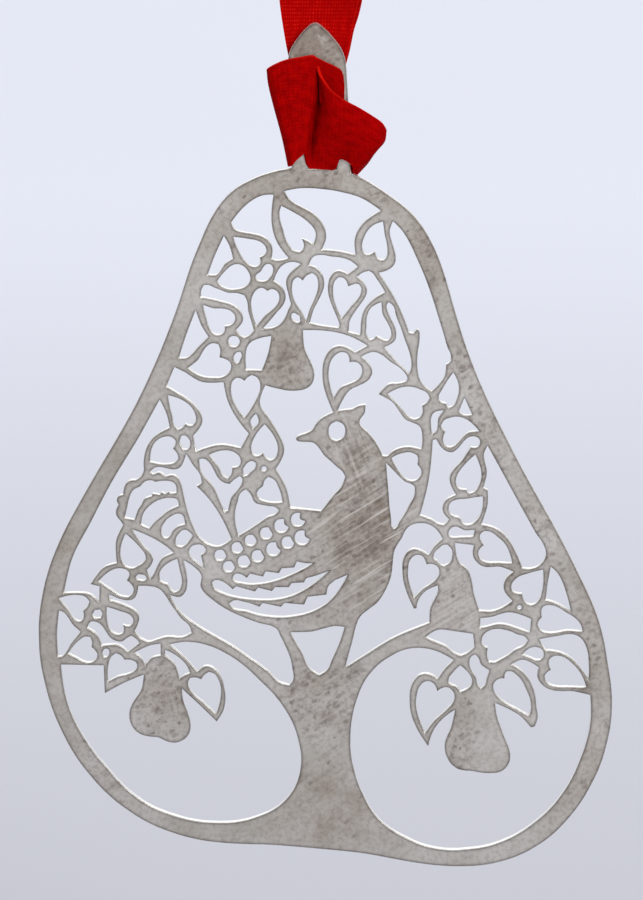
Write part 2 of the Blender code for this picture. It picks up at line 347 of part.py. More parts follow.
BIRD_WINDOWS = {
    "eye": [(2.6, 51.7), (3.6, 50.6), (2.6, 49.45), (1.75, 50.5)],
    "legs": [
        (-2.55, 27.7, 1), (-1.2, 25.3), (0.7, 22.75), (2.1, 24.5), (3.55, 28.3, 1), (2.4, 28.4), (0, 27.8)],
    "tail_a": [
        (-21.05, 40.75, 1), (-20.75, 41.9), (-20.5, 43), (-20, 43.95), (-19.25, 44.35), (-18.85, 44.8), (-18, 45),
        (-17.65, 44.85, 1), (-16.6, 44.95), (-15.7, 44.82), (-15.3, 44.4), (-15.25, 43.6, 1), (-15.9, 43.55),
        (-16.1, 43.72, 1), (-16.5, 43.45, 1), (-16.9, 43.65, 1), (-17.1, 43.35, 1), (-17.9, 43.5, 1), (-18, 43.2, 1),
        (-18.85, 42.85), (-19.1, 42.35), (-19.5, 41.75), (-19.95, 40.5, 1)],
    "tail_b": [
        (-19.2, 40, 1), (-18.95, 41.2), (-18.2, 42.15), (-17, 42.85), (-15.7, 43), (-15.15, 42.8), (-14.98, 42.1, 1),
        (-15.9, 41.7), (-16.9, 40.95), (-17.8, 40.15), (-18.3, 39.5, 1)],
    "tail_c": [
        (-16.95, 39.25), (-16.6, 40.2), (-15.8, 40.95), (-14.8, 41.2), (-14.45, 40.8), (-14.3, 40, 1), (-15.1, 39.75),
        (-15.75, 39.15), (-16, 38.65), (-16.5, 38.45)],
    "tail_d": [
        (-15.35, 38.2), (-14.95, 39), (-14.3, 39.4), (-13.45, 38.75, 1), (-13.8, 38.2), (-14.65, 37.45), (-15.2, 37.65)],
    "feather_a": [
        (-9, 33.8), (-8, 33.3), (-6, 33.2), (-3, 34), (0.2, 35.6, 1), (-0.9, 35.6), (-1.8, 35.8, 1), (-2.1, 35.1, 1),
        (-3.5, 35, 1), (-3.8, 34.45, 1), (-5.3, 34.65, 1), (-5.6, 34.05, 1), (-7.05, 34.4, 1), (-7.4, 33.9, 1),
        (-8.5, 34.4)],
    "feather_b": [
        (-11.3, 33.4), (-10.2, 32.2), (-8, 31.65), (-4, 31.45), (-1, 32.5), (2, 34.8, 1), (0.4, 34.2), (-0.75, 33.85, 1),
        (-1, 33.4, 1), (-2.4, 33.3, 1), (-2.7, 32.85, 1), (-4.25, 32.85, 1), (-4.6, 32.4, 1), (-6.15, 32.8, 1),
        (-6.5, 32.35, 1), (-8.6, 32.95, 1), (-9, 32.6, 1), (-10.4, 33.6)],
    "feather_c": [
        (-9.4, 31), (-7.5, 30.1), (-5, 29.5), (-2, 29.55), (1, 30.6), (2.6, 32.1), (3.95, 34.3, 1), (1.8, 33.1, 1),
        (1.5, 32, 1), (-0.6, 31.75, 1), (-1, 30.85, 1), (-3.2, 31.05, 1), (-3.6, 30.6, 1), (-5.65, 31.05, 1),
        (-6, 30.6, 1), (-7.8, 31.2)],
}
# Scale-shaped windows along the wing: centre, radius, and depth of the bite on the upper right as a share of the radius
WING_SCALES = [
    (-10.35, 36.5, 0.65, 0.15), (-8.45, 37.35, 0.65, 0.2), (-6.95, 38.2, 0.65, 0.15), (-5.2, 39.0, 0.7, 0.25),
    (-3.5, 39.85, 0.8, 0.55), (-1.65, 40.55, 0.8, 0.75), (-9.4, 35.2, 0.65, 0.15), (-7.7, 35.8, 0.7, 0.15),
    (-6.15, 36.4, 0.7, 0.25), (-4.4, 37.2, 0.8, 0.45), (-2.8, 37.95, 0.7, 0.25), (-1.2, 38.5, 0.85, 0.6),
]

# Heights from the hanging point, which is the origin, down to the foot of the pear
PLATE_BACK = PLATE_THICKNESS / 2
TWIST_Z = -LOOP_LENGTH - TWIST_GAP / 2
SWING_Z = TWIST_Z - TWIST_GAP / 2 - NECK_LENGTH - BEND_GAP / 2
TIP_Z = SWING_Z - TIP_RISE
FOOT_Z = TIP_Z - BAIL_HEIGHT
PEAR_BASE_Z = FOOT_Z - (BAIL_LEFT_FOOT - DRAWN_BASE) * PEAR_HEIGHT / DRAWN_HEIGHT
LAYER = CLEARANCE + RIBBON_THICKNESS / 2
TUCK_Y = PLATE_BACK + CLEARANCE + RIBBON_THICKNESS
BIGHT_Y = TUCK_Y + RIBBON_THICKNESS + LAYER


def remove_scene():
    for item in list(bpy.data.objects):
        bpy.data.objects.remove(item, do_unlink=True)


def collection(name):
    group = bpy.data.collections.new(name)
    bpy.context.scene.collection.children.link(group)
    return group


def material(name, colour, roughness, metallic):
    mat = bpy.data.materials.new(name)
    mat.use_nodes = True
    mat.diffuse_color = (*colour, 1)
    shader = mat.node_tree.nodes["Principled BSDF"]
    shader.inputs["Base Color"].default_value = (*colour, 1)
    shader.inputs["Roughness"].default_value = roughness
    shader.inputs["Metallic"].default_value = metallic
    return mat


def pivot(group, name, height, parent=None):
    """An empty on a joint's axis, at a height in millimetres."""
    empty = bpy.data.objects.new(name, None)
    group.objects.link(empty)
    empty.parent = parent
    above = parent.matrix_world.translation.z if parent else 0
    empty.location.z = height * MM - above
    bpy.context.view_layer.update()
    return empty


def place(group, name, data, mat, parent):
    part = bpy.data.objects.new(name, data)
    part.data.materials.append(mat)
    part.parent = parent
    part.matrix_parent_inverse = parent.matrix_world.inverted()
    group.objects.link(part)
    return part


def drawn(u, v):
    """A point of the drawing as x and z in millimetres from the hanging point."""
    x = (u - BAIL_U) * PEAR_WIDTH / DRAWN_WIDTH
    return x, PEAR_BASE_Z + (v - DRAWN_BASE) * PEAR_HEIGHT / DRAWN_HEIGHT


def bail_axis(z):
    return -BAIL_LEAN * (z - FOOT_Z) / BAIL_HEIGHT


def leg_edge(side, z):
    return bail_axis(z) + side * BAIL_WIDTH / 2


def slot_edge(side, z):
    return bail_axis(z) + SLOT_SHIFT + side * SLOT_WIDTH / 2


def bail_outline():
    """The bail from its right foot over the tip to its left foot."""
    right_foot = (BAIL_WIDTH / 2, drawn(0, BAIL_RIGHT_FOOT)[1], 1)
    left_foot = (-BAIL_WIDTH / 2, FOOT_Z, 1)
    sides = {1: [], -1: []}
    for side, points in sides.items():
        for rise, half in BAIL_PROFILE:
            z = FOOT_Z + rise * BAIL_HEIGHT
            points.append((bail_axis(z) + side * half * BAIL_WIDTH, z))
    tip = (bail_axis(TIP_Z), TIP_Z)
    return [right_foot, *sides[1], tip, *reversed(sides[-1]), left_foot]


def slot_outline():
    """The bail's slot: straight legs and a round top."""
    shoulder = FOOT_Z + SLOT_HEIGHT - SLOT_WIDTH / 2
    arch = [pi * step / 6 for step in range(7)]
    centre = bail_axis(shoulder) + SLOT_SHIFT
    top = [(centre + SLOT_WIDTH / 2 * cos(a), shoulder + SLOT_WIDTH / 2 * sin(a)) for a in arch]
    return [(slot_edge(-1, FOOT_Z), FOOT_Z, 1), (slot_edge(1, FOOT_Z), FOOT_Z, 1), *top]


def scale_outline(u, v, radius, bite):
    """A round window of the drawing with a bite between two corners on its upper right."""
    ring = [(70, radius, 1), *((angle, radius) for angle in (120, 170, 220, 270, 310)), (350, radius, 1),
            (30, radius * (1 - bite))]
    return [(u + r * cos(radians(angle)), v + r * sin(radians(angle)), *corner) for angle, r, *corner in ring]


def in_place(outline):
    """An outline of the drawing moved to the plate, with its corner marks kept."""
    return [(*drawn(point[0], point[1]), *point[2:]) for point in outline]


def add_spline(curve, outline):
    spline = curve.splines.new("BEZIER")
    spline.bezier_points.add(len(outline) - 1)
    spline.use_cyclic_u = True
    for point, spot in zip(spline.bezier_points, outline):
        point.co = (spot[0] * MM, spot[1] * MM, 0)
        handle = "VECTOR" if len(spot) > 2 else "AUTO"
        point.handle_left_type = point.handle_right_type = handle


def build_plate(group, mat, parent):
    """The whole tree is one flat outline with its windows, cut from one sheet."""
    curve = bpy.data.curves.new("pear_tree_plate", "CURVE")
    curve.dimensions = "2D"
    curve.fill_mode = "BOTH"
    curve.resolution_u = 2
    curve.extrude = PLATE_THICKNESS / 2 * MM
    add_spline(curve, in_place(PEAR_OUTLINE) + bail_outline())
    add_spline(curve, slot_outline())
    for windows in (TOP_WINDOWS, LEFT_WINDOWS, RIGHT_WINDOWS, BIRD_WINDOWS):
        for outline in windows.values():
            add_spline(curve, in_place(outline))
    for scale in WING_SCALES:
        add_spline(curve, in_place(scale_outline(*scale)))
    plate = place(group, "pear_tree_plate", curve, mat, parent)
    plate.rotation_euler.x = pi / 2
    return plate


def smooth(points, steps):
    """A smooth line through points, with each stretch cut into steps."""
    spots = [Vector(point) for point in points]
    ends = [2 * spots[0] - spots[1], *spots, 2 * spots[-1] - spots[-2]]
    line = []
    for before, here, there, after in zip(ends, ends[1:], ends[2:], ends[3:]):
        for step in range(steps):
            t = step / steps
            pull = (2 * before - 5 * here + 4 * there - after) * t * t
            swing = (3 * here - before - 3 * there + after) * t * t * t
            line.append(here + ((there - before) * t + pull + swing) / 2)
    return line + [spots[-1]]


def ribbon_strip(group, name, upper, lower, thickness, mat, parent, steps=3):
    """A stretch of ribbon between two selvages, thickened into a solid."""
    bm = bmesh.new()
    edges = []
    for selvage in (upper, lower):
        verts = [bm.verts.new(spot * MM) for spot in smooth(selvage, steps)]
        edges += [bm.edges.new(pair) for pair in zip(verts, verts[1:])]
    bmesh.ops.bridge_loops(bm, edges=edges)
    mesh = bpy.data.meshes.new(name)
    bm.to_mesh(mesh)
    bm.free()
    strip = place(group, name, mesh, mat, parent)
    skin = strip.modifiers.new("thickness", "SOLIDIFY")
    skin.thickness = thickness * MM
    skin.offset = 0
    skin.use_even_offset = True
    return strip


def rows(side, stations):
    """Ribbon stations beside a leg: shift from the leg or, where marked, from the slot's middle."""
    line = []
    for shift, y, rise, *mark in stations:
        z = FOOT_Z + rise
        base = bail_axis(z) + SLOT_SHIFT if mark else leg_edge(side, z)
        line.append((base + shift, y, z))
    return line


def build_left_turn(group, mat, parent):
    """Out through the slot, flat across the left leg and back round its edge."""
    front = -PLATE_BACK - LAYER
    upper = [
        (-LAYER, 0.5, 8.4, "slot"), (-LAYER, -0.8, 9.6, "slot"), (-0.9, front - 0.25, 11.9, "slot"),
        (0.5, front - 0.1, 12.3), (-1.6, front + 0.25, 11.6), (-2.1, 0.5, 11.2), (-1.5, BIGHT_Y - 0.15, 10.8),
        (-0.2, BIGHT_Y, 10.4)]
    lower = [
        (-LAYER, 0.5, 1.3, "slot"), (-LAYER, -0.8, 1.5, "slot"), (-1, front - 0.05, 2, "slot"),
        (0.9, front, 1.6), (-0.1, front + 0.05, 0.9), (-LAYER, 0.5, 0.5), (-LAYER, BIGHT_Y - 0.3, 0.6),
        (-0.2, BIGHT_Y, 1)]
    ribbon_strip(group, "ribbon_left_turn", rows(-1, upper), rows(-1, lower), RIBBON_THICKNESS, mat, parent)


def build_right_turn(group, mat, parent):
    """Out through the slot, puffed over the right leg and folded back at its corner."""
    front = -PLATE_BACK - LAYER
    upper = [
        (LAYER, 0.5, 8.2, "slot"), (LAYER, -0.8, 9.2, "slot"), (0.1, front - 0.55, 11, "slot"),
        (-2.2, front - 1, 8.8), (-0.5, front - 1.1, 7.8), (1.8, front - 0.9, 6.2), (3.5, front - 0.2, 5),
        (4, 0.4, 4), (3.2, BIGHT_Y - 0.2, 4), (1.3, BIGHT_Y, 4.9)]
    lower = [
        (LAYER, 0.5, 1, "slot"), (LAYER + 0.1, -0.8, 0.8, "slot"), (0.9, front - 0.2, 1, "slot"),
        (-1.4, front - 0.3, 1.2), (-0.3, front - 0.2, 0.8), (0.4, front + 0.3, 0.3), (LAYER + 0.1, -0.2, 0),
        (LAYER + 0.2, 0.6, 0), (LAYER + 0.1, BIGHT_Y - 0.3, 0.5), (0.2, BIGHT_Y, 1.4)]
    ribbon_strip(group, "ribbon_right_turn", rows(1, upper), rows(1, lower), RIBBON_THICKNESS, mat, parent)


def build_bight(group, mat, parent):
    """Across the back, from one turn to the other."""
    behind = BIGHT_Y + 0.25
    upper = rows(-1, [(0.1, BIGHT_Y, 10.3), (0, behind, 9.2, "slot")]) + rows(1, [(1, BIGHT_Y, 5.1)])
    lower = rows(-1, [(0.1, BIGHT_Y, 1), (0, behind, 0.9, "slot")]) + rows(1, [(-0.1, BIGHT_Y, 1.4)])
    ribbon_strip(group, "ribbon_bight", upper, lower, RIBBON_THICKNESS, mat, parent)


def build_tuck(group, mat, parent):
    """Both strands, one on the other, up the back of the bail to the bend above its tip."""
    top = SWING_Z - BEND_GAP / 2
    tip = bail_axis(TIP_Z)
    left = rows(-1, [(-1.2, TUCK_Y, 2, "slot"), (-1.9, TUCK_Y, 7, "slot"), (0.1, TUCK_Y, 12.7)])
    left += [(tip - TUCK_TIP_LEFT, TUCK_Y, TIP_Z), (-TUCK_WIDTH / 2, 0, top)]
    right = rows(1, [(1.2, TUCK_Y, 2, "slot"), (1.9, TUCK_Y, 7, "slot"), (0.1, TUCK_Y, 12.7)])
    right += [(tip + TUCK_TIP_RIGHT, TUCK_Y, TIP_Z), (TUCK_WIDTH / 2, 0, top)]
    ribbon_strip(group, "ribbon_tuck", left, right, 2 * RIBBON_THICKNESS, mat, parent)


def build_neck(group, mat, parent):
    """Both strands from the bend up to where the loop opens."""
    low = SWING_Z + BEND_GAP / 2
    high = TWIST_Z - TWIST_GAP / 2
    sides = [[(side * TUCK_WIDTH / 2, 0, low), (side * NECK_WIDTH / 2, 0, high)] for side in (-1, 1)]
    ribbon_strip(group, "ribbon_neck", *sides, 2 * RIBBON_THICKNESS, mat, parent, steps=2)


def build_loop(group, mat, parent):
    """The loop that goes over a twig or a hook: up the front, over the top and down the back."""
    bend = LOOP_RADIUS + RIBBON_THICKNESS / 2
    foot = TWIST_Z + TWIST_GAP / 2
    leg = [(LAYER, foot, NECK_WIDTH / 2), (bend * 0.45, foot * 0.78, NECK_WIDTH / 2 + 0.9),
           (bend * 0.85, foot * 0.45, RIBBON_WIDTH / 2 - 0.2)]
    over = [(bend * cos(a), bend * sin(a) - LOOP_RADIUS, RIBBON_WIDTH / 2)
            for a in (pi * step / 6 for step in range(7))]
    down = [(-y, z, half) for y, z, half in reversed(leg)]
    sides = [[(side * half, y, z) for y, z, half in leg + over + down] for side in (-1, 1)]
    ribbon_strip(group, "ribbon_loop", *sides, RIBBON_THICKNESS, mat, parent)


def main():
    remove_scene()
    ornament = collection("pear_tree_ornament")
    silver = material("tarnished_silver_sheet", (0.38, 0.355, 0.335), 0.45, 1.0)
    red = material("red_woven_ribbon", (0.33, 0.002, 0.003), 0.75, 0.0)

    hang_point = pivot(ornament, "hang_point", 0)
    twist_axis = pivot(ornament, "twist_axis", TWIST_Z, hang_point)
    swing_axis = pivot(ornament, "swing_axis", SWING_Z, twist_axis)

    build_loop(ornament, red, hang_point)
    build_neck(ornament, red, twist_axis)
    build_plate(ornament, silver, swing_axis)
    build_left_turn(ornament, red, swing_axis)
    build_right_turn(ornament, red, swing_axis)
    build_bight(ornament, red, swing_axis)
    build_tuck(ornament, red, swing_axis)


if __name__ == "__main__":
    main()
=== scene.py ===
"""Pierced silver pear-tree ornament hung on a red woven ribbon, dressed over its CAD frame."""
import json
from math import cos, pi, radians, sin

import bmesh
import bpy
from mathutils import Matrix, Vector
from mathutils.geometry import interpolate_bezier


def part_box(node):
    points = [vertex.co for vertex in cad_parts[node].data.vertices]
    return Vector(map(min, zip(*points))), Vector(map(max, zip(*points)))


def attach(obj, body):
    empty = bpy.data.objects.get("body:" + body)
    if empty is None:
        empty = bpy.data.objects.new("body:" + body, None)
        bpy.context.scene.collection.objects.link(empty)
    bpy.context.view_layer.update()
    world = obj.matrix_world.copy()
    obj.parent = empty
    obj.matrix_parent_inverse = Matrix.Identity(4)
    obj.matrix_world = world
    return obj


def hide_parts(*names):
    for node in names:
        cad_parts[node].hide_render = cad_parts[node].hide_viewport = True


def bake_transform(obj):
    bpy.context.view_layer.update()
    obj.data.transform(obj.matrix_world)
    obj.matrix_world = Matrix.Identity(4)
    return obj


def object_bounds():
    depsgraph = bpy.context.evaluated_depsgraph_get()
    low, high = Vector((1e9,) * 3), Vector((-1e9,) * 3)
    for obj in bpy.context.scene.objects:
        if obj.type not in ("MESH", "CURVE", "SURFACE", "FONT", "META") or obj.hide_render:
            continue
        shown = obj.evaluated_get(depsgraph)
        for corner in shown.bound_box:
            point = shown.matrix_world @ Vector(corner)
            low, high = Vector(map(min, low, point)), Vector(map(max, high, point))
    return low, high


bl_info = {
    "name": "Pierced pear-tree ornament",
    "version": (1, 0, 0),
    "blender": (4, 5, 0),
    "location": "View3D > Sidebar > Ornament",
    "description": "Builds a tarnished silver ornament, its tied ribbon and a studio for it",
    "category": "Object",
}

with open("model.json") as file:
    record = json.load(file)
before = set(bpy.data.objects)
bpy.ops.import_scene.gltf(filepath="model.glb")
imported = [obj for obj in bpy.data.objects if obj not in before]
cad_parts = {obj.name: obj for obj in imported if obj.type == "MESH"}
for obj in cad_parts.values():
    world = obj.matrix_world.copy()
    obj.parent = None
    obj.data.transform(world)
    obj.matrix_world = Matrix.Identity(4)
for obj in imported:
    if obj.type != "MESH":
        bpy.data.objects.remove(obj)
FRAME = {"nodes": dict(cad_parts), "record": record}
CAD_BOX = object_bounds()
MM = 0.001
TO_MM = (1 / MM, 1 / MM, 1 / MM)

# Heights on the CAD frame, in millimetres
PLATE_LOW, PLATE_HIGH = (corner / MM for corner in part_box("pear_tree_plate"))
JOINTS = {joint["name"]: joint["pos_m"][2] / MM for joint in FRAME["record"]["behaviour"]["joints"]}
TWIST_Z = JOINTS["ribbon_twist"]
SWING_Z = JOINTS["ornament_swing"]
SPLIT_Z = (TWIST_Z + SWING_Z) / 2
BAIL_HEIGHT = 16.1
BAIL_FOOT_Z = PLATE_HIGH.z - BAIL_HEIGHT

# Where the frame's middle and the bail's foot are on the picture, and the middle of the photograph there
MIDDLE_U, BAIL_FOOT_V = 0.93, 79.97
PHOTO_MIDDLE = (0.948, 48.352)

# Gap between the two layers of the lap, and the loop's inset from the outside of the CAD's loop, in millimetres
LAP_GAP = 0.03
LOOP_INSET = 0.18
CLOTH_STEPS = 6
# Across the ribbon: sideways place and depth where hitch and loop join, and share of the half width and of the curl
SEAM_ROW = ((-4.75, 0.2), (-1.66, 0.3), (1.66, 0.3), (4.75, 0.2))
CURL_ROW = ((-1, 0), (-0.35, 1), (0.35, 1), (1, 0))
CREST_ROW = (-6.35, -2.2, 2.2, 6.35)

# Vertices closer than this many metres are one
WELD = 0.000001
# Bends beyond these angles stay sharp: in the drawn outline, on the plate's edges and on the cloth's
OUTLINE_CORNER, PLATE_CORNER, CLOTH_CORNER = radians(48), radians(50), radians(60)

# Tarnish patches on the picture: centre, half width and half height, film and specks
PATCHES = [
    ((2.5, 7.5), (9, 6), 0.8, 0.1), ((0.5, 20.5), (6, 5), 0.5, 0.75), ((-17.3, 20.3), (4, 5), 0.6, 0.8),
    ((16.8, 14.5), (1.8, 6), 0.5, 0.6), ((14.2, 29.5), (3.6, 5), 0.4, 0.05), ((-3.3, 58.6), (3.6, 4.6), 0.75, 0.85),
    ((3, 77.5), (14, 4), 0.75, 0.4), ((13, 72), (4, 6), 0.75, 0.5), ((19, 48), (3.5, 9), 0.3, 0.65),
    ((24.4, 38.6), (4, 6), 0.3, 0.65), ((31, 27), (3, 8), 0.4, 0.5), ((16.6, 59), (2.5, 4), 0.3, 0.6),
    ((5.5, 41), (6.5, 12), 1, 0.75), ((2.5, 33), (9, 5), 0.7, 0.4), ((-24, 10), (6, 6), 0.5, 0.2),
    ((0.5, 94), (5, 5), 1.8, 0.5), ((-10, 75), (5, 5), 0.6, 0.25), ((18, 33), (8, 5), 0.3, 0.3),
    ((-30, 36), (5, 18), 0.6, 0), ((30, 12), (5, 9), 0.6, 0.2), ((-22, 56), (6, 12), 0.5, 0)]

# Polishing strokes: slope in degrees, how strong they are all over, and where they are stronger
STROKES = [
    (32, 0.12, [((5.5, 39), (9, 10), 0.8), ((15, 30), (4, 5), 0.75), ((1.5, 18), (9, 8), 0.3)]),
    (-70, 0, [((5, 49.5), (3.5, 5.5), 0.75)])]

# Soft boxes: name, place, size and power, in metres and watts
LAMPS = [
    ("top_soft_box", (0.05, -0.1, 0.75), (0.9, 0.7), 2.0),
    ("front_soft_box", (0.9, -1.6, 0.7), (0.9, 0.9), 26.0),
    ("back_soft_box", (0.1, 1.9, 0.8), (1.6, 1), 4.0)]
LAMP_AIM = Vector((0, 0, -0.1))
AIR_COLOUR, AIR_LIGHT = (0.93, 0.95, 1, 1), 0.92
FLOOR_REACH, FLOOR_MIDDLE_Y = 4, 1
SENSOR_HEIGHT = 36


def linear(code):
    """Linear colour of an sRGB hex code."""
    parts = [int(code[i:i + 2], 16) / 255 for i in (0, 2, 4)]
    return [c / 12.92 if c <= 0.04045 else ((c + 0.055) / 1.055) ** 2.4 for c in parts]


def colour(name, code, description):
    return bpy.props.FloatVectorProperty(
        name=name, description=description, subtype="COLOR", size=3, min=0, max=1, default=linear(code))


def length(name, size, description):
    return bpy.props.FloatProperty(
        name=name, description=description, subtype="DISTANCE", unit="LENGTH", min=0, default=size * MM)


class PlateSettings(bpy.types.PropertyGroup):
    edge_round: length("Edge rounding", 0.07, "Radius that sawing and polishing left on every edge")
    silver: colour("Silver", "cdc8c1", "Clean silver plate")
    worn: colour("Worn silver", "b7b1a7", "Silver plate dulled by handling")
    brown: colour("Warm tarnish", "90857b", "Thin warm tarnish film")
    speck: colour("Specks", "60534b", "Dark tarnish specks")
    # Painted shade: dark rims along every edge
    painted_edge_shade: colour("Rims", "47413c", "Dark tarnish along every edge")
    # Painted highlight: near-white walls in the sawn windows
    painted_wall_glint: colour("Walls", "efeeeb", "Clean metal in the sawn windows")


class RibbonSettings(bpy.types.PropertyGroup):
    width: length("Width", 12.7, "Flat width of the ribbon")
    thickness: length("Thickness", 0.3, "Thickness of the cloth")
    pitch: length("Thread pitch", 0.42, "Distance between threads")
    red: colour("Red", "9e0101", "Cloth where it catches the light")
    deep: colour("Deep red", "7a0001", "Cloth where it lies dull")
    gap: colour("Thread gaps", "5a0001", "Gaps of the weave")
    # Painted sheen: a lighter red on the strands above the bail
    taut_sheen: colour("Taut red", "a80202", "Cloth where it is pulled taut")
    # Painted highlight: bright thread tops
    top: colour("Thread tops", "f02a1a", "Tops of the threads")
    # Painted highlight along both edges of the ribbon, stronger on the one that faces up
    selvage: colour("Selvage", "c4160b", "Bright woven edge")
    thread: length("Thread", 0.22, "Thickness of the sewing thread")
    sewing: colour("Sewing", "740404", "Thread in the lap")


class StageSettings(bpy.types.PropertyGroup):
    # Painted shade: the floor is greyer near the ornament than further off
    near: colour("Near floor", "adadb3", "Floor under the ornament")
    far: colour("Far floor", "d9dbe3", "Floor further off")
    drop: length("Drop", 45, "Floor below the ornament")
    lens: bpy.props.FloatProperty(name="Lens", description="Focal length in millimetres", default=215.161, min=1)
    tilt: bpy.props.FloatProperty(
        name="Tilt", description="Camera height angle", subtype="ANGLE", default=radians(10))
    distance: length("Distance", 600, "Camera to ornament")


def drawn(u, v):
    """A place on the picture, u to the right and v up from the pear's foot, in frame millimetres."""
    return Vector((u - MIDDLE_U, 0, v + BAIL_FOOT_Z - BAIL_FOOT_V))


def node(tree, kind, inputs=None, **settings):
    """Adds a node, sets its properties, then sets or links its inputs.

    Inputs 1 to 4 of a map range are from low, from high, to low and to high. Inputs 6 and 7 of a mix are its colours.
    """
    made = tree.nodes.new(kind)
    for key, value in settings.items():
        setattr(made, key, value)
    for key, value in (inputs or {}).items():
        if isinstance(value, bpy.types.NodeSocket):
            tree.links.new(value, made.inputs[key])
        else:
            made.inputs[key].default_value = value
    return made


def start_material(name):
    """A new material and its empty node tree."""
    mat = bpy.data.materials.new(name)
    mat.use_nodes = True
    tree = mat.node_tree
    tree.nodes.clear()
    return mat, tree


def rgba(setting):
    return (*setting, 1)


def gather(tree, in_mm, places, full, least=0):
    """A share that is least all over, and grows to its own value in each place: centre, half sizes and value.

    It holds that value out to the share full of the half sizes, and has faded out at 1.2 of them.
    """
    total = None
    for at, (wide, high), most in places:
        shares = (1 / wide, 0, 1 / high)
        away = node(tree, "ShaderNodeVectorMath", {0: in_mm, 1: drawn(*at)}, operation="SUBTRACT").outputs[0]
        away = node(tree, "ShaderNodeVectorMath", {0: away, 1: shares}, operation="MULTIPLY").outputs[0]
        away = node(tree, "ShaderNodeVectorMath", {0: away}, operation="LENGTH").outputs["Value"]
        one = node(tree, "ShaderNodeMapRange", {"Value": away, 1: 1.2, 2: full, 3: least, 4: most}).outputs[0]
        total = one if total is None else node(
            tree, "ShaderNodeMath", {0: total, 1: one}, operation="MAXIMUM").outputs[0]
    return total


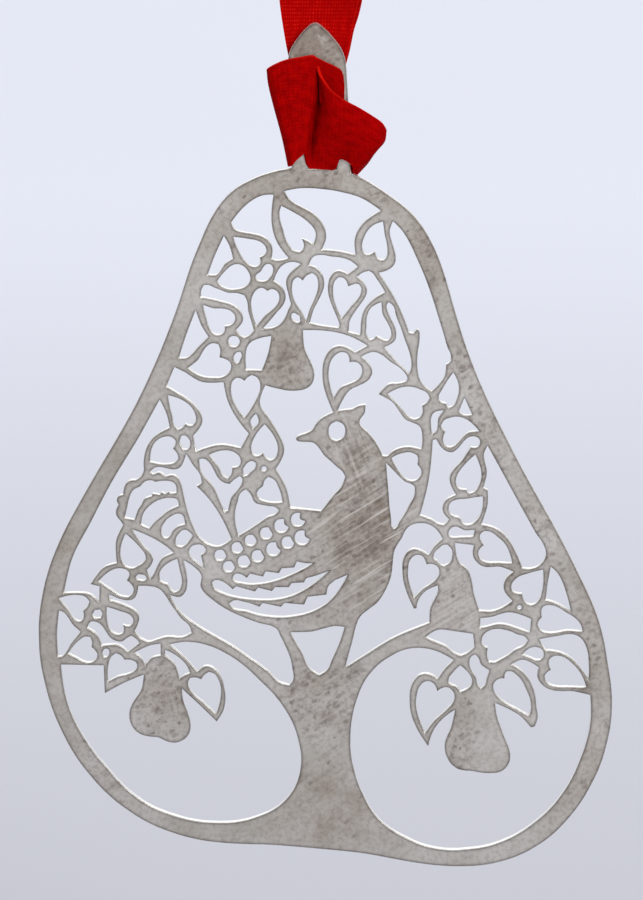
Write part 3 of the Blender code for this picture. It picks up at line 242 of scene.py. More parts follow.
def silver_material(s):
    """Silver-plated sheet, pierced and hand polished, then left to tarnish.

    It gives a soft warm-grey sheen, a fine mottle, brown film and dark specks in patches, slanted polishing
    scratches, painted shade as dark rims along every edge, and painted highlights on the sawn walls of the windows.
    """
    mat, tree = start_material("silver_plate_polished_tarnished")
    place = node(tree, "ShaderNodeTexCoord").outputs
    in_mm = node(tree, "ShaderNodeVectorMath", {0: place["Object"], 1: TO_MM}, operation="MULTIPLY").outputs[0]

    # Warm blotches about 9 mm across
    blotch = node(tree, "ShaderNodeTexNoise", {"Vector": in_mm, "Scale": 1 / 9, "Detail": 4, "Roughness": 0.6})
    blotch = node(tree, "ShaderNodeMapRange", {"Value": blotch.outputs[0], 1: 0.38, 2: 0.66}).outputs[0]
    base = node(tree, "ShaderNodeMix", {0: blotch, 6: rgba(s.silver), 7: rgba(s.worn)}, data_type="RGBA").outputs[2]

    # Brown film in blots of 2.6 mm where it gathers
    filmed = gather(tree, in_mm, [(at, reach, film) for at, reach, film, specks in PATCHES], 0.4)
    specked = gather(tree, in_mm, [(at, reach, specks) for at, reach, film, specks in PATCHES], 0.4)
    film = node(tree, "ShaderNodeTexNoise", {"Vector": in_mm, "Scale": 1 / 2.6, "Detail": 5, "Roughness": 0.65})
    film = node(tree, "ShaderNodeMapRange", {"Value": film.outputs[0], 1: 0.3, 2: 0.65, 3: 0.25, 4: 1}).outputs[0]
    film = node(tree, "ShaderNodeMath", {0: film, 1: filmed}, operation="MULTIPLY").outputs[0]
    base = node(tree, "ShaderNodeMix", {0: film, 6: base, 7: rgba(s.brown)}, data_type="RGBA").outputs[2]

    # A grainy mottle of half a millimetre, faint all over and stronger where specks gather
    mottle = node(tree, "ShaderNodeTexNoise", {"Vector": in_mm, "Scale": 1 / 0.5, "Detail": 2, "Roughness": 0.7})
    mottle = node(tree, "ShaderNodeMapRange", {"Value": mottle.outputs[0], 1: 0.45, 2: 0.65}).outputs[0]
    depth = node(tree, "ShaderNodeMapRange", {"Value": specked, 1: 0, 2: 1, 3: 0.22, 4: 0.42}).outputs[0]
    mottle = node(tree, "ShaderNodeMath", {0: mottle, 1: depth}, operation="MULTIPLY").outputs[0]
    base = node(tree, "ShaderNodeMix", {0: mottle, 6: base, 7: rgba(s.speck)}, data_type="RGBA").outputs[2]

    # Ragged specks of 0.3 to 0.6 mm and soft smudges of 1 mm, each in a cell of its own that may stay empty, and
    # drawn out along the polishing strokes
    slants = []
    for slope, least, places in STROKES:
        slant = node(tree, "ShaderNodeVectorRotate", {"Vector": in_mm, "Angle": radians(slope)}, rotation_type="Y_AXIS")
        slants.append(slant.outputs[0])
    ragged = node(tree, "ShaderNodeTexNoise", {"Vector": in_mm, "Scale": 1 / 0.4, "Detail": 1}).outputs["Color"]
    ragged = node(tree, "ShaderNodeVectorMath", {
        0: ragged, 1: (0.5, 0.5, 0.5), 2: slants[0]}, operation="MULTIPLY_ADD").outputs[0]
    ragged = node(tree, "ShaderNodeVectorMath", {0: ragged, 1: (0.6, 1, 1)}, operation="MULTIPLY").outputs[0]
    for size, reach, soft, dark in ((0.6, 0.5, 0.25, 0.8), (1.8, 0.46, 0.32, 0.45)):
        cells = node(tree, "ShaderNodeTexVoronoi", {"Vector": ragged, "Scale": 1 / size}).outputs
        chance = node(tree, "ShaderNodeSeparateColor", {0: cells["Color"]}).outputs
        there = node(tree, "ShaderNodeMath", {0: chance["Red"], 1: specked}, operation="LESS_THAN").outputs[0]
        depth = node(tree, "ShaderNodeMath", {0: chance["Green"], 1: there}, operation="MULTIPLY").outputs[0]
        speck = node(tree, "ShaderNodeMapRange", {
            "Value": cells["Distance"], 1: reach, 2: reach - soft, 3: 0, 4: dark}).outputs[0]
        speck = node(tree, "ShaderNodeMath", {0: speck, 1: depth}, operation="MULTIPLY").outputs[0]
        base = node(tree, "ShaderNodeMix", {0: speck, 6: base, 7: rgba(s.speck)}, data_type="RGBA").outputs[2]

    # Polishing scratches 0.4 mm apart and some 7 mm long, cut through the film: slanted on the breast, a pear and the
    # trunk, and steep on the neck
    scratches = []
    for slant, (slope, least, places) in zip(slants, STROKES):
        run = node(tree, "ShaderNodeVectorMath", {0: slant, 1: (1 / 7, 0, 1 / 0.38)}, operation="MULTIPLY")
        scratch = node(tree, "ShaderNodeTexNoise", {"Vector": run.outputs[0], "Scale": 1, "Detail": 3}).outputs[0]
        scratches.append(scratch)
        rubbed = gather(tree, in_mm, places, 0.5, least)
        for tint, low, high in ((s.speck, 0.44, 0.2), (s.silver, 0.54, 0.68)):
            line = node(tree, "ShaderNodeMapRange", {"Value": scratch, 1: low, 2: high}).outputs[0]
            line = node(tree, "ShaderNodeMath", {0: line, 1: rubbed}, operation="MULTIPLY").outputs[0]
            base = node(tree, "ShaderNodeMix", {0: line, 6: base, 7: rgba(tint)}, data_type="RGBA").outputs[2]

    # Painted shade: dark rims 0.3 mm wide along every edge
    rounded = node(tree, "ShaderNodeBevel", {"Radius": 0.6 * MM}, samples=6).outputs[0]
    facing = node(tree, "ShaderNodeNewGeometry").outputs["Normal"]
    turn = node(tree, "ShaderNodeVectorMath", {0: rounded, 1: facing}, operation="DOT_PRODUCT").outputs["Value"]
    painted_edge_shade = node(tree, "ShaderNodeMapRange", {"Value": turn, 1: 0.998, 2: 0.86, 3: 0, 4: 0.9}).outputs[0]
    base = node(tree, "ShaderNodeMix", {0: painted_edge_shade, 6: base, 7: rgba(s.painted_edge_shade)}, data_type="RGBA").outputs[2]
    # Painted highlight: the sawn walls of the windows are near white
    flat = node(tree, "ShaderNodeSeparateXYZ", {0: place["Normal"]}).outputs["Y"]
    flat = node(tree, "ShaderNodeMath", {0: flat}, operation="ABSOLUTE").outputs[0]
    painted_wall_glint = node(tree, "ShaderNodeMapRange", {"Value": flat, 1: 0.3, 2: 0.1}).outputs[0]
    base = node(tree, "ShaderNodeMix", {0: painted_wall_glint, 6: base, 7: rgba(s.painted_wall_glint)}, data_type="RGBA").outputs[2]

    rough = node(tree, "ShaderNodeMapRange", {"Value": film, 1: 0, 2: 1, 3: 0.38, 4: 0.55}).outputs[0]
    grain = node(tree, "ShaderNodeTexNoise", {"Vector": in_mm, "Scale": 1 / 0.3, "Detail": 2}).outputs[0]
    dents = node(tree, "ShaderNodeMath", {0: grain, 1: scratches[0]}, operation="ADD").outputs[0]
    bump = node(tree, "ShaderNodeBump", {"Height": dents, "Strength": 0.15, "Distance": 0.05 * MM}).outputs[0]
    shader = node(tree, "ShaderNodeBsdfPrincipled", {
        "Base Color": base, "Roughness": rough, "Metallic": 1.0, "Normal": bump})
    node(tree, "ShaderNodeOutputMaterial", {"Surface": shader.outputs[0]})
    return mat


def ribbon_material(s):
    """Polyester ribbon in plain weave with a firm selvage.

    It gives a matt red with a fine unevenness, faint gaps between the threads, a painted sheen of lighter red with
    bright thread tops where it is pulled tight, and painted highlights along the edges.
    """
    mat, tree = start_material("polyester_ribbon_plain_woven")
    place = node(tree, "ShaderNodeUVMap", uv_map="cloth_mm").outputs[0]
    along_across = node(tree, "ShaderNodeSeparateXYZ", {0: place}).outputs
    waves = []
    for axis in ("X", "Y"):
        turn = node(tree, "ShaderNodeMath", {0: along_across[axis], 1: 2 * pi * MM / s.pitch}, operation="MULTIPLY")
        wave = node(tree, "ShaderNodeMath", {0: turn.outputs[0]}, operation="SINE").outputs[0]
        waves.append(node(tree, "ShaderNodeMapRange", {"Value": wave, 1: -1, 2: 1}).outputs[0])
    weave = node(tree, "ShaderNodeMath", {0: waves[0], 1: waves[1]}, operation="MULTIPLY").outputs[0]
    fade = node(tree, "ShaderNodeTexNoise", {"Vector": place, "Scale": 1 / 1.1, "Detail": 4, "Roughness": 0.75})
    fade = node(tree, "ShaderNodeMapRange", {"Value": fade.outputs[0], 1: 0.35, 2: 0.65}).outputs[0]
    base = node(tree, "ShaderNodeMix", {0: fade, 6: rgba(s.deep), 7: rgba(s.red)}, data_type="RGBA").outputs[2]
    gaps = node(tree, "ShaderNodeMapRange", {"Value": weave, 1: 0.45, 2: 0.05, 3: 0, 4: 0.15}).outputs[0]
    base = node(tree, "ShaderNodeMix", {0: gaps, 6: base, 7: rgba(s.gap)}, data_type="RGBA").outputs[2]

    # Painted sheen: lighter red and bright thread tops on the strands pulled tight above the bail, most on the left
    spot = node(tree, "ShaderNodeSeparateXYZ", {0: node(tree, "ShaderNodeTexCoord").outputs["Object"]}).outputs
    taut_sheen = node(tree, "ShaderNodeMapRange", {
        "Value": spot["Z"], 1: (PLATE_HIGH.z - 4) * MM, 2: (PLATE_HIGH.z - 1) * MM, 3: 0.06, 4: 0.65}).outputs[0]
    left_sheen = node(tree, "ShaderNodeMapRange", {"Value": spot["X"], 1: -3 * MM, 2: 3 * MM, 3: 1, 4: 0.45}).outputs[0]
    taut_sheen = node(tree, "ShaderNodeMath", {0: taut_sheen, 1: left_sheen}, operation="MULTIPLY").outputs[0]
    base = node(tree, "ShaderNodeMix", {0: taut_sheen, 6: base, 7: rgba(s.taut_sheen)}, data_type="RGBA").outputs[2]
    tops = node(tree, "ShaderNodeMapRange", {"Value": weave, 1: 0.35, 2: 0.9}).outputs[0]
    tops = node(tree, "ShaderNodeMath", {0: tops, 1: taut_sheen}, operation="MULTIPLY").outputs[0]
    tops = node(tree, "ShaderNodeMath", {0: tops, 1: fade}, operation="MULTIPLY").outputs[0]
    base = node(tree, "ShaderNodeMix", {0: tops, 6: base, 7: rgba(s.top)}, data_type="RGBA").outputs[2]

    # The selvage is the last 0.3 mm on both edges, with a painted highlight that is strongest on the one that faces up
    half = s.width / MM / 2
    middle = node(tree, "ShaderNodeMath", {0: along_across["Y"], 1: half}, operation="SUBTRACT").outputs[0]
    away = node(tree, "ShaderNodeMath", {0: middle}, operation="ABSOLUTE").outputs[0]
    edge = node(tree, "ShaderNodeMapRange", {"Value": away, 1: half - 0.3, 2: half - 0.1}).outputs[0]
    upper_edge_highlight = node(tree, "ShaderNodeMapRange", {"Value": middle, 1: -half, 2: half, 3: 0.1, 4: 0.5}).outputs[0]
    edge = node(tree, "ShaderNodeMath", {0: edge, 1: upper_edge_highlight}, operation="MULTIPLY").outputs[0]
    base = node(tree, "ShaderNodeMix", {0: edge, 6: base, 7: rgba(s.selvage)}, data_type="RGBA").outputs[2]

    bump = node(tree, "ShaderNodeBump", {"Height": weave, "Strength": 0.3, "Distance": 0.06 * MM}).outputs[0]
    shader = node(tree, "ShaderNodeBsdfPrincipled", {
        "Base Color": base, "Roughness": 0.8, "Specular IOR Level": 0.01, "Normal": bump})
    node(tree, "ShaderNodeOutputMaterial", {"Surface": shader.outputs[0]})
    return mat


def front_loops(mesh):
    """Outlines of the flat front face of a sheet, each as a ring of points in millimetres."""
    spot = {}
    uses = {}
    for face in mesh.polygons:
        if face.normal.y > -0.9:
            continue
        ring = []
        for index in face.vertices:
            at = mesh.vertices[index].co / MM
            key = (round(at.x, 3), round(at.z, 3))
            spot[key] = at
            ring.append(key)
        for pair in zip(ring, ring[1:] + ring[:1]):
            edge = frozenset(pair)
            uses[edge] = uses.get(edge, 0) + 1
    links = {}
    for edge, count in uses.items():
        if count == 1:
            a, b = edge
            links.setdefault(a, []).append(b)
            links.setdefault(b, []).append(a)
    loops = []
    while links:
        here = next(iter(links))
        ring = []
        while here in links:
            ring.append(spot[here])
            onward = [key for key in links.pop(here) if key in links]
            if not onward:
                break
            here = onward[0]
        loops.append(ring)
    return loops


def build_plate(s):
    """The pierced sheet, with its outlines smoothed and every edge slightly rounded."""
    source = FRAME["nodes"]["pear_tree_plate"]
    curve = bpy.data.curves.new("pierced_plate", "CURVE")
    curve.dimensions = "2D"
    curve.fill_mode = "BOTH"
    curve.resolution_u = 3
    curve.bevel_depth = s.edge_round
    curve.bevel_resolution = 1
    curve.offset = -s.edge_round
    curve.extrude = (PLATE_HIGH.y - PLATE_LOW.y) / 2 * MM - s.edge_round
    for ring in front_loops(source.data):
        spline = curve.splines.new("BEZIER")
        spline.bezier_points.add(len(ring) - 1)
        spline.use_cyclic_u = True
        for i, (point, at) in enumerate(zip(spline.bezier_points, ring)):
            before, after = at - ring[i - 1], ring[(i + 1) % len(ring)] - at
            sharp = before.angle(after, 0) > OUTLINE_CORNER
            point.co = (at.x * MM, at.z * MM, 0)
            point.handle_left_type = point.handle_right_type = "VECTOR" if sharp else "AUTO"
    drawing = bpy.data.objects.new("pierced_plate_drawing", curve)
    drawing.rotation_euler.x = pi / 2
    bpy.context.scene.collection.objects.link(drawing)
    bpy.context.view_layer.update()
    ready = drawing.evaluated_get(bpy.context.evaluated_depsgraph_get())
    mesh = bpy.data.meshes.new_from_object(ready)
    mesh.transform(drawing.matrix_world)
    bpy.data.objects.remove(drawing)
    bm = bmesh.new()
    bm.from_mesh(mesh)
    bmesh.ops.remove_doubles(bm, verts=bm.verts, dist=2 * WELD)
    bmesh.ops.recalc_face_normals(bm, faces=bm.faces)
    bm.to_mesh(mesh)
    bm.free()
    mesh.materials.clear()
    mesh.materials.append(silver_material(s))
    plate = bpy.data.objects.new("pierced_plate", mesh)
    bpy.context.scene.collection.objects.link(plate)
    mesh.set_sharp_from_angle(angle=PLATE_CORNER)
    for face in mesh.polygons:
        face.use_smooth = abs(face.normal.y) < 0.99
    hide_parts("pear_tree_plate")
    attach(plate, "ornament")


def through(points, steps):
    """A smooth line through points, each stretch cut into steps."""
    ends = [2 * points[0] - points[1], *points, 2 * points[-1] - points[-2]]
    line = []
    for before, here, there, after in zip(ends, ends[1:], ends[2:], ends[3:]):
        one, two = here + (there - before) / 6, there - (after - here) / 6
        line += interpolate_bezier(here, one, two, there, steps + 1)[:-1]
    return line + [points[-1]]


def add_cloth(bm, stations, width, along=CLOTH_STEPS, across=5):
    """A strip of ribbon through stations, each a row of points from one selvage to the other."""
    uv = bm.loops.layers.uv["cloth_mm"]
    rows = [through([Vector(p) for p in row], across) for row in stations]
    columns = [through(list(column), along) for column in zip(*rows)]
    middle = columns[len(columns) // 2]
    run = [0.0]
    for here, there in zip(middle, middle[1:]):
        run.append(run[-1] + (there - here).length)
    grid = [[bm.verts.new(at * MM) for at in column] for column in columns]
    share = width / MM / (len(grid) - 1)
    for j in range(len(grid) - 1):
        for i in range(len(grid[0]) - 1):
            corners = [(j, i), (j, i + 1), (j + 1, i + 1), (j + 1, i)]
            face = bm.faces.new([grid[a][b] for a, b in corners])
            face.smooth = True
            for loop, (a, b) in zip(face.loops, corners):
                loop[uv].uv = (run[b], a * share)


def cloth_object(name, strips, s):
    """Strips of ribbon as one piece, with the cloth's thickness."""
    bm = bmesh.new()
    bm.loops.layers.uv.new("cloth_mm")
    for strip in strips:
        add_cloth(bm, strip, s.width)
    bmesh.ops.remove_doubles(bm, verts=bm.verts, dist=WELD)
    mesh = bpy.data.meshes.new(name)
    bm.to_mesh(mesh)
    bm.free()
    mesh.materials.append(ribbon_material(s))
    cloth = bpy.data.objects.new(name, mesh)
    bpy.context.scene.collection.objects.link(cloth)
    skin = cloth.modifiers.new("thickness", "SOLIDIFY")
    skin.thickness = s.thickness
    skin.offset = 0
    bpy.context.view_layer.update()
    thick = bpy.data.meshes.new_from_object(cloth.evaluated_get(bpy.context.evaluated_depsgraph_get()))
    cloth.modifiers.clear()
    cloth.data = thick
    bpy.data.meshes.remove(mesh)
    thick.name = name
    thick.set_sharp_from_angle(angle=CLOTH_CORNER)
    return cloth


def row(*points):
    """Ribbon points given as picture place and depth: u, v, y."""
    return [drawn(u, v) + Vector((0, y, 0)) for u, v, y in points]


def seam(side):
    """Row where the hitch's strand and the loop's strand join; side is -1 at the front and 1 at the back."""
    return [Vector((x, side * y, SPLIT_Z)) for x, y in SEAM_ROW]


def build_hitch(s):
    """The ribbon tied on the bail: two strands behind it, a flat panel on the left and a puffed flap on the right."""
    front_strand = [
        seam(-1),
        row((-3.8, 101.2, -0.05), (-0.75, 101.2, -0.1), (2.55, 101.2, -0.1), (5.5, 101.2, 0)),
        row((-3.72, 99, 0.35), (-0.85, 99, 0.3), (2.45, 99, 0.3), (5.15, 99, 0.4)),
        row((-3.5, 97, 0.8), (-1, 97, 0.75), (2.35, 97, 0.75), (4.72, 97, 0.9)),
        row((-3.2, 95, 1.0), (-1, 95.2, 0.92), (2.2, 95.2, 0.92), (4.3, 95, 1.05)),
        row((-2.8, 92.8, 1.0), (-0.8, 93, 0.95), (2, 93, 0.95), (3.9, 92.8, 1.05)),
        row((-2.2, 90.5, 1.0), (-0.6, 90.5, 0.95), (1.6, 90.5, 0.95), (3.2, 90.5, 1.0)),
        row((-1.2, 87, 1.0), (0, 87, 1.2), (1.4, 87, 1.0), (2.4, 87, 1.2)),
        row((-0.1, 83.5, 0.9), (0.7, 83.5, 1.1), (1.6, 83.5, 0.9), (2.4, 83.5, 1.1)),
        row((-0.38, 80, 0.2), (0.7, 79.99, 0.2), (1.6, 79.99, 0.2), (2.65, 80, 0.2))]
    back_strand = [
        seam(1),
        row((-3.65, 101.2, 0.4), (-0.75, 101.2, 0.4), (2.6, 101.2, 0.4), (5.65, 101.2, 0.4)),
        row((-3.45, 99, 0.85), (-0.85, 99, 0.8), (2.7, 99, 0.8), (5.5, 99, 0.85)),
        row((-3.2, 97, 1.3), (-1, 97, 1.25), (2.75, 97, 1.25), (5.1, 97, 1.3)),
        row((-3, 95, 1.5), (-1, 95.2, 1.4), (2.6, 95.2, 1.4), (4.5, 95, 1.5)),
        row((-2.5, 92.8, 1.5), (-0.8, 93, 1.45), (2.2, 93, 1.45), (4.05, 92.8, 1.5)),
        row((-2, 90.5, 1.5), (-0.6, 90.5, 1.45), (1.8, 90.5, 1.45), (3.4, 90.5, 1.5)),
        row((-1, 87, 1.6), (0.2, 87, 1.6), (1.4, 87, 1.6), (2.4, 87, 1.6)),
        row((0.1, 83.5, 1.55), (0.7, 83.5, 1.55), (1.4, 83.5, 1.55), (2, 83.5, 1.55))]
    inner_layer = [
        row((0.75, 87.5, -0.8), (0.7, 89, -0.8), (0.6, 90.2, -0.85), (0.5, 91.3, -0.95), (0.35, 92.4, -1.1)),
        row((1.5, 86.5, -0.8), (1.45, 88.2, -0.8), (1.4, 89.6, -0.85), (1.35, 90.8, -0.9), (1.3, 91.9, -1)),
        row((2.4, 86, -0.8), (2.4, 87.6, -0.8), (2.4, 89, -0.85), (2.35, 90.2, -0.9), (2.3, 91.45, -0.95)),
        row((3.1, 85.5, -0.8), (3.15, 87, -0.8), (3.2, 88.4, -0.82), (3.15, 89.7, -0.85), (3.05, 91, -0.9)),
        row((3.35, 85.4, -0.8), (3.4, 86.9, -0.8), (3.45, 88.2, -0.8), (3.45, 89.3, -0.8), (3.35, 90.4, -0.85))]
    wrap = [
        row((4.3, 79.35, 2), (4.6, 81.3, 2.1), (5, 82.9, 2.1), (5.3, 84, 2.1), (5.5, 85, 2.05)),
        row((3.2, 80.1, 2.25), (3.3, 82, 2.3), (3.4, 83.6, 2.3), (3.5, 84.9, 2.3), (3.6, 86.1, 2.2)),
        row((1, 80.75, 2.3), (1, 83, 2.4), (1, 85, 2.4), (1, 87, 2.4), (1, 88.8, 2.3)),
        row((-1.2, 81, 2.05), (-1.5, 83.2, 2.1), (-1.8, 85.6, 2.1), (-2.1, 87.9, 2.1), (-2.4, 90, 2.05)),
        row((-2.4, 80.6, 1.6), (-2.9, 83, 1.7), (-3.4, 85.8, 1.7), (-3.8, 88, 1.7), (-4.2, 90.3, 1.6)),
        row((-2.65, 80.25, 0.2), (-3.3, 83.4, 0.2), (-4.15, 86.6, 0.2), (-4.75, 89.1, 0.2), (-4.95, 90.75, 0.2)),
        row((-2.35, 80.35, -0.9), (-3, 83.5, -1.05), (-3.75, 86.7, -1.1), (-4.35, 89.3, -1.05), (-4.6, 91.35, -0.8)),
        row((-1.85, 80.95, -1.1), (-2.3, 84, -1.35), (-2.7, 87, -1.45), (-3, 89.7, -1.4), (-3.1, 92.1, -1.2)),
        row((-1.25, 81.5, -1.1), (-1.4, 84.2, -1.3), (-1.5, 87, -1.4), (-1.4, 89.8, -1.45), (-1.1, 92.5, -1.35)),
        row((-0.95, 81.65, -1), (-0.7, 84, -1.05), (-0.3, 86.5, -1.1), (0.1, 89.3, -1.2), (0.15, 92.6, -1.3)),
        row((-0.5, 80.1, -0.6), (-0.2, 82.6, 0.1), (0.3, 85.4, 0.25), (0.8, 88.1, 0.1), (0.5, 91.6, -1)),
        row((0.25, 80, -0.5), (0.45, 82, -0.8), (0.95, 84.8, -1.15), (1.35, 87.4, -1.45), (0.85, 90.5, -1.85)),
        row((1.4, 79.95, -0.5), (1.5, 81.8, -1.1), (1.8, 84.1, -1.75), (1.9, 86.4, -2.05), (1.75, 89.2, -2.2)),
        row((2.4, 79.97, -0.55), (2.5, 81.7, -1.25), (2.65, 83.9, -2.05), (2.7, 85.9, -2.3), (2.65, 88.4, -2.28)),
        row((2.95, 81.1, -0.95), (3.15, 82.2, -1.55), (3.4, 83.9, -2.2), (3.5, 85.5, -2.4), (3.5, 87.8, -2.3)),
        row((3.75, 80.95, -1.15), (4.1, 82.1, -1.75), (4.5, 83.6, -2.3), (4.75, 85.1, -2.45), (4.9, 87.05, -2.25)),
        row((4.4, 80.3, -1), (5.2, 81.5, -1.6), (5.9, 83, -2.05), (6.3, 84.4, -2.15), (6.5, 86, -1.85)),
        row((4.39, 79.62, -0.45), (5.75, 80.85, -0.9), (6.85, 82.2, -1.2), (7.45, 83.4, -1.25), (7.55, 85.1, -0.95)),
        row((4.45, 79.45, 0.4), (5.85, 80.65, 0.3), (7, 82.05, 0.2), (7.8, 82.95, 0.15), (8, 84.1, 0.1)),
        row((4.65, 78.95, 1.35), (5.85, 80.4, 1.5), (6.6, 81.8, 1.5), (7.15, 82.8, 1.45), (7.3, 84, 1.3))]
    wrap.append(wrap[0])
    hitch = cloth_object("ribbon_hitch", [front_strand, back_strand, wrap, inner_layer], s)
    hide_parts("ribbon_tuck", "ribbon_left_turn", "ribbon_right_turn", "ribbon_bight")
    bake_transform(hitch)


def build_loop(s):
    """The loop above: two strands that part, go over the hook and come down again."""
    low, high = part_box("ribbon_loop")
    bend = (high.y - low.y) / 2 / MM - LOOP_INSET
    top = high.z / MM - LOOP_INSET
    # Depth, height, half width and curl
    shape = [
        (0.4, TWIST_Z, 5.0, 0.3), (bend * 0.3, TWIST_Z * 0.84, 5.4, 0.45), (bend * 0.62, TWIST_Z * 0.62, 5.8, 0.35),
        (bend * 0.86, TWIST_Z * 0.36, 6.15, 0.2), (bend, -bend * 1.2, 6.3, 0.05)]
    shape += [(bend * cos(a), top - bend + bend * sin(a), 6.35, 0) for a in (pi / 6, pi / 3)]
    strands = {}
    for side in (-1, 1):
        strands[side] = [seam(side)] + [
            [Vector((x * half, side * (y + lift * curl), z)) for x, lift in CURL_ROW]
            for y, z, half, curl in shape]
    crest = [Vector((x, 0, top)) for x in CREST_ROW]
    # The ribbon's ends are sewn together in a lap on the strand behind
    columns = [through(list(column), CLOTH_STEPS) for column in zip(*strands[1])]
    behind = list(zip(*columns))[3 * CLOTH_STEPS:4 * CLOTH_STEPS + 1]
    lap = [[at + Vector((0, s.thickness / MM + LAP_GAP, 0)) for at in line] for line in behind[::2]]
    loop = cloth_object("ribbon_loop_cloth", [strands[-1] + [crest] + strands[1][::-1], lap], s)
    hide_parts("ribbon_loop", "ribbon_neck")
    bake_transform(loop)
    build_stitches(s, [behind[1], behind[-2]])


def build_stitches(s, lines):
    """Running stitches of 1.2 mm across the lap, seen on both of its faces."""
    curve = bpy.data.curves.new("lap_stitches", "CURVE")
    curve.dimensions = "3D"
    curve.bevel_depth = s.thread / 2
    curve.bevel_resolution = 2
    curve.use_fill_caps = True
    faces = (1.5 * s.thickness / MM + LAP_GAP, -0.5 * s.thickness / MM)
    for line in lines:
        fine = through(list(line), 8)
        for face in faces:
            for i in range(1, len(fine) - 2, 2):
                spline = curve.splines.new("POLY")
                spline.points.add(1)
                for point, at in zip(spline.points, fine[i:i + 2]):
                    point.co = (at.x * MM, (at.y + face) * MM, at.z * MM, 1)
    drawing = bpy.data.objects.new("lap_stitches_drawing", curve)
    bpy.context.scene.collection.objects.link(drawing)
    bpy.context.view_layer.update()
    mesh = bpy.data.meshes.new_from_object(drawing.evaluated_get(bpy.context.evaluated_depsgraph_get()))
    bpy.data.objects.remove(drawing)
    mesh.materials.clear()
    mesh.materials.append(thread_material(s))
    stitches = bpy.data.objects.new("lap_stitches", mesh)
    bpy.context.scene.collection.objects.link(stitches)
    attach(stitches, "ribbon_loop")


def thread_material(s):
    """Spun polyester sewing thread: a little deeper and duller than the cloth, and finely streaked by its plies."""
    mat, tree = start_material("polyester_thread_spun")
    place = node(tree, "ShaderNodeTexCoord").outputs["Object"]
    in_mm = node(tree, "ShaderNodeVectorMath", {0: place, 1: TO_MM}, operation="MULTIPLY").outputs[0]
    plies = node(tree, "ShaderNodeTexNoise", {"Vector": in_mm, "Scale": 1 / 0.15, "Detail": 1}).outputs[0]
    plies = node(tree, "ShaderNodeMapRange", {"Value": plies, 1: 0.35, 2: 0.65}).outputs[0]
    base = node(tree, "ShaderNodeMix", {0: plies, 6: rgba(s.gap), 7: rgba(s.sewing)}, data_type="RGBA").outputs[2]
    bump = node(tree, "ShaderNodeBump", {"Height": plies, "Strength": 0.3, "Distance": 0.03 * MM}).outputs[0]
    shader = node(tree, "ShaderNodeBsdfPrincipled", {
        "Base Color": base, "Roughness": 0.8, "Specular IOR Level": 0.05, "Normal": bump})
    node(tree, "ShaderNodeOutputMaterial", {"Surface": shader.outputs[0]})
    return mat


def floor_material(s):
    """Matt paint-rolled board, with painted shade that makes it grey under the ornament and in front of it and pale
    behind.
    """
    mat, tree = start_material("painted_board_matt")
    place = node(tree, "ShaderNodeNewGeometry").outputs["Position"]
    behind = node(tree, "ShaderNodeSeparateXYZ", {0: place}).outputs["Y"]
    # Painted shade: grey near the ornament, fading to pale behind
    share = node(tree, "ShaderNodeMapRange", {
        "Value": behind, 1: -0.05, 2: 1}, interpolation_type="SMOOTHSTEP").outputs[0]
    base = node(tree, "ShaderNodeMix", {0: share, 6: rgba(s.near), 7: rgba(s.far)}, data_type="RGBA").outputs[2]
    shader = node(tree, "ShaderNodeBsdfPrincipled", {"Base Color": base, "Roughness": 0.9})
    node(tree, "ShaderNodeOutputMaterial", {"Surface": shader.outputs[0]})
    return mat


def build_stage(s):
    """Floor, lamps, world and the camera at the photograph's angle."""
    low = CAD_BOX[0].z - s.drop
    mesh = bpy.data.meshes.new("floor")
    bm = bmesh.new()
    bmesh.ops.create_grid(bm, x_segments=1, y_segments=1, size=FLOOR_REACH)
    bm.to_mesh(mesh)
    bm.free()
    floor = bpy.data.objects.new("floor", mesh)
    floor.location = (0, FLOOR_MIDDLE_Y, low)
    mesh.materials.append(floor_material(s))
    bpy.context.scene.collection.objects.link(floor)

    for name, place, size, power in LAMPS:
        lamp = bpy.data.lights.new(name, "AREA")
        lamp.shape = "RECTANGLE"
        lamp.size, lamp.size_y = size
        lamp.energy = power
        holder = bpy.data.objects.new(name, lamp)
        holder.location = place
        holder.rotation_euler = (LAMP_AIM - Vector(place)).to_track_quat("-Z", "Y").to_euler()
        bpy.context.scene.collection.objects.link(holder)

    world = bpy.data.worlds.new("studio_air")
    world.use_nodes = True
    tree = world.node_tree
    tree.nodes.clear()
    sky = node(tree, "ShaderNodeBackground", {"Color": AIR_COLOUR, "Strength": AIR_LIGHT})
    node(tree, "ShaderNodeOutputWorld", {"Surface": sky.outputs[0]})
    bpy.context.scene.world = world

    eye = bpy.data.cameras.new("photo_camera")
    eye.lens = s.lens
    eye.sensor_fit = "VERTICAL"
    eye.sensor_height = SENSOR_HEIGHT
    camera = bpy.data.objects.new("photo_camera", eye)
    target = drawn(*PHOTO_MIDDLE) * MM
    camera.location = target + s.distance * Vector((0, -cos(s.tilt), sin(s.tilt)))
    camera.rotation_euler = (pi / 2 - s.tilt, 0, 0)
    bpy.context.scene.collection.objects.link(camera)
    bpy.context.scene.camera = camera
    bpy.context.scene.view_settings.view_transform = "Standard"


class ORNAMENT_OT_plate(bpy.types.Operator):
    """Cut the pierced plate from the frame's outlines"""
    bl_idname = "ornament.pierced_plate"
    bl_label = "Pierced plate"

    def execute(self, context):
        build_plate(context.scene.ornament_plate)
        return {"FINISHED"}


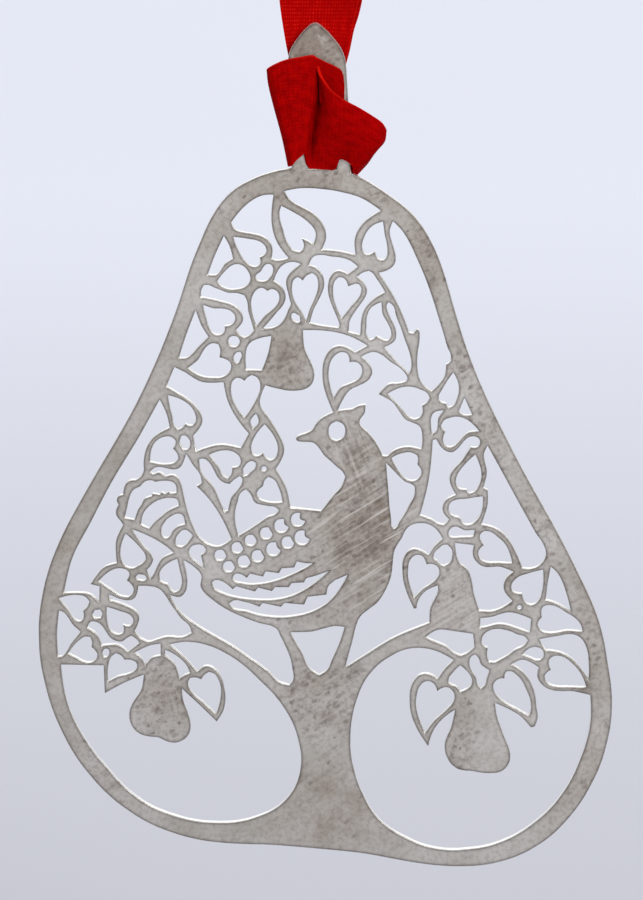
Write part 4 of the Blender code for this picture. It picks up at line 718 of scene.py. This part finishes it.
class ORNAMENT_OT_hitch(bpy.types.Operator):
    """Tie the ribbon on the bail"""
    bl_idname = "ornament.ribbon_hitch"
    bl_label = "Ribbon hitch"

    def execute(self, context):
        build_hitch(context.scene.ornament_ribbon)
        return {"FINISHED"}


class ORNAMENT_OT_loop(bpy.types.Operator):
    """Hang the ribbon loop"""
    bl_idname = "ornament.ribbon_loop"
    bl_label = "Ribbon loop"

    def execute(self, context):
        build_loop(context.scene.ornament_ribbon)
        return {"FINISHED"}


class ORNAMENT_OT_stage(bpy.types.Operator):
    """Set up the floor, lamps and camera"""
    bl_idname = "ornament.stage"
    bl_label = "Stage"

    def execute(self, context):
        build_stage(context.scene.ornament_stage)
        return {"FINISHED"}


class ORNAMENT_PT_panel(bpy.types.Panel):
    bl_label = "Pear-tree ornament"
    bl_idname = "ORNAMENT_PT_panel"
    bl_space_type = "VIEW_3D"
    bl_region_type = "UI"
    bl_category = "Ornament"

    def draw(self, context):
        for settings in (context.scene.ornament_plate, context.scene.ornament_ribbon, context.scene.ornament_stage):
            box = self.layout.box()
            for key in settings.__annotations__:
                box.prop(settings, key)
        for operator in OPERATORS:
            self.layout.operator(operator.bl_idname)


OPERATORS = (ORNAMENT_OT_plate, ORNAMENT_OT_hitch, ORNAMENT_OT_loop, ORNAMENT_OT_stage)
SETTINGS = {"ornament_plate": PlateSettings, "ornament_ribbon": RibbonSettings, "ornament_stage": StageSettings}
CLASSES = (*SETTINGS.values(), *OPERATORS, ORNAMENT_PT_panel)


def register():
    for one in CLASSES:
        bpy.utils.register_class(one)
    for key, group in SETTINGS.items():
        setattr(bpy.types.Scene, key, bpy.props.PointerProperty(type=group))


def unregister():
    for key in SETTINGS:
        delattr(bpy.types.Scene, key)
    for one in reversed(CLASSES):
        bpy.utils.unregister_class(one)


def main():
    register()
    bpy.ops.ornament.pierced_plate()
    bpy.ops.ornament.ribbon_hitch()
    bpy.ops.ornament.ribbon_loop()
    bpy.ops.ornament.stage()


if __name__ == "__main__":
    main()
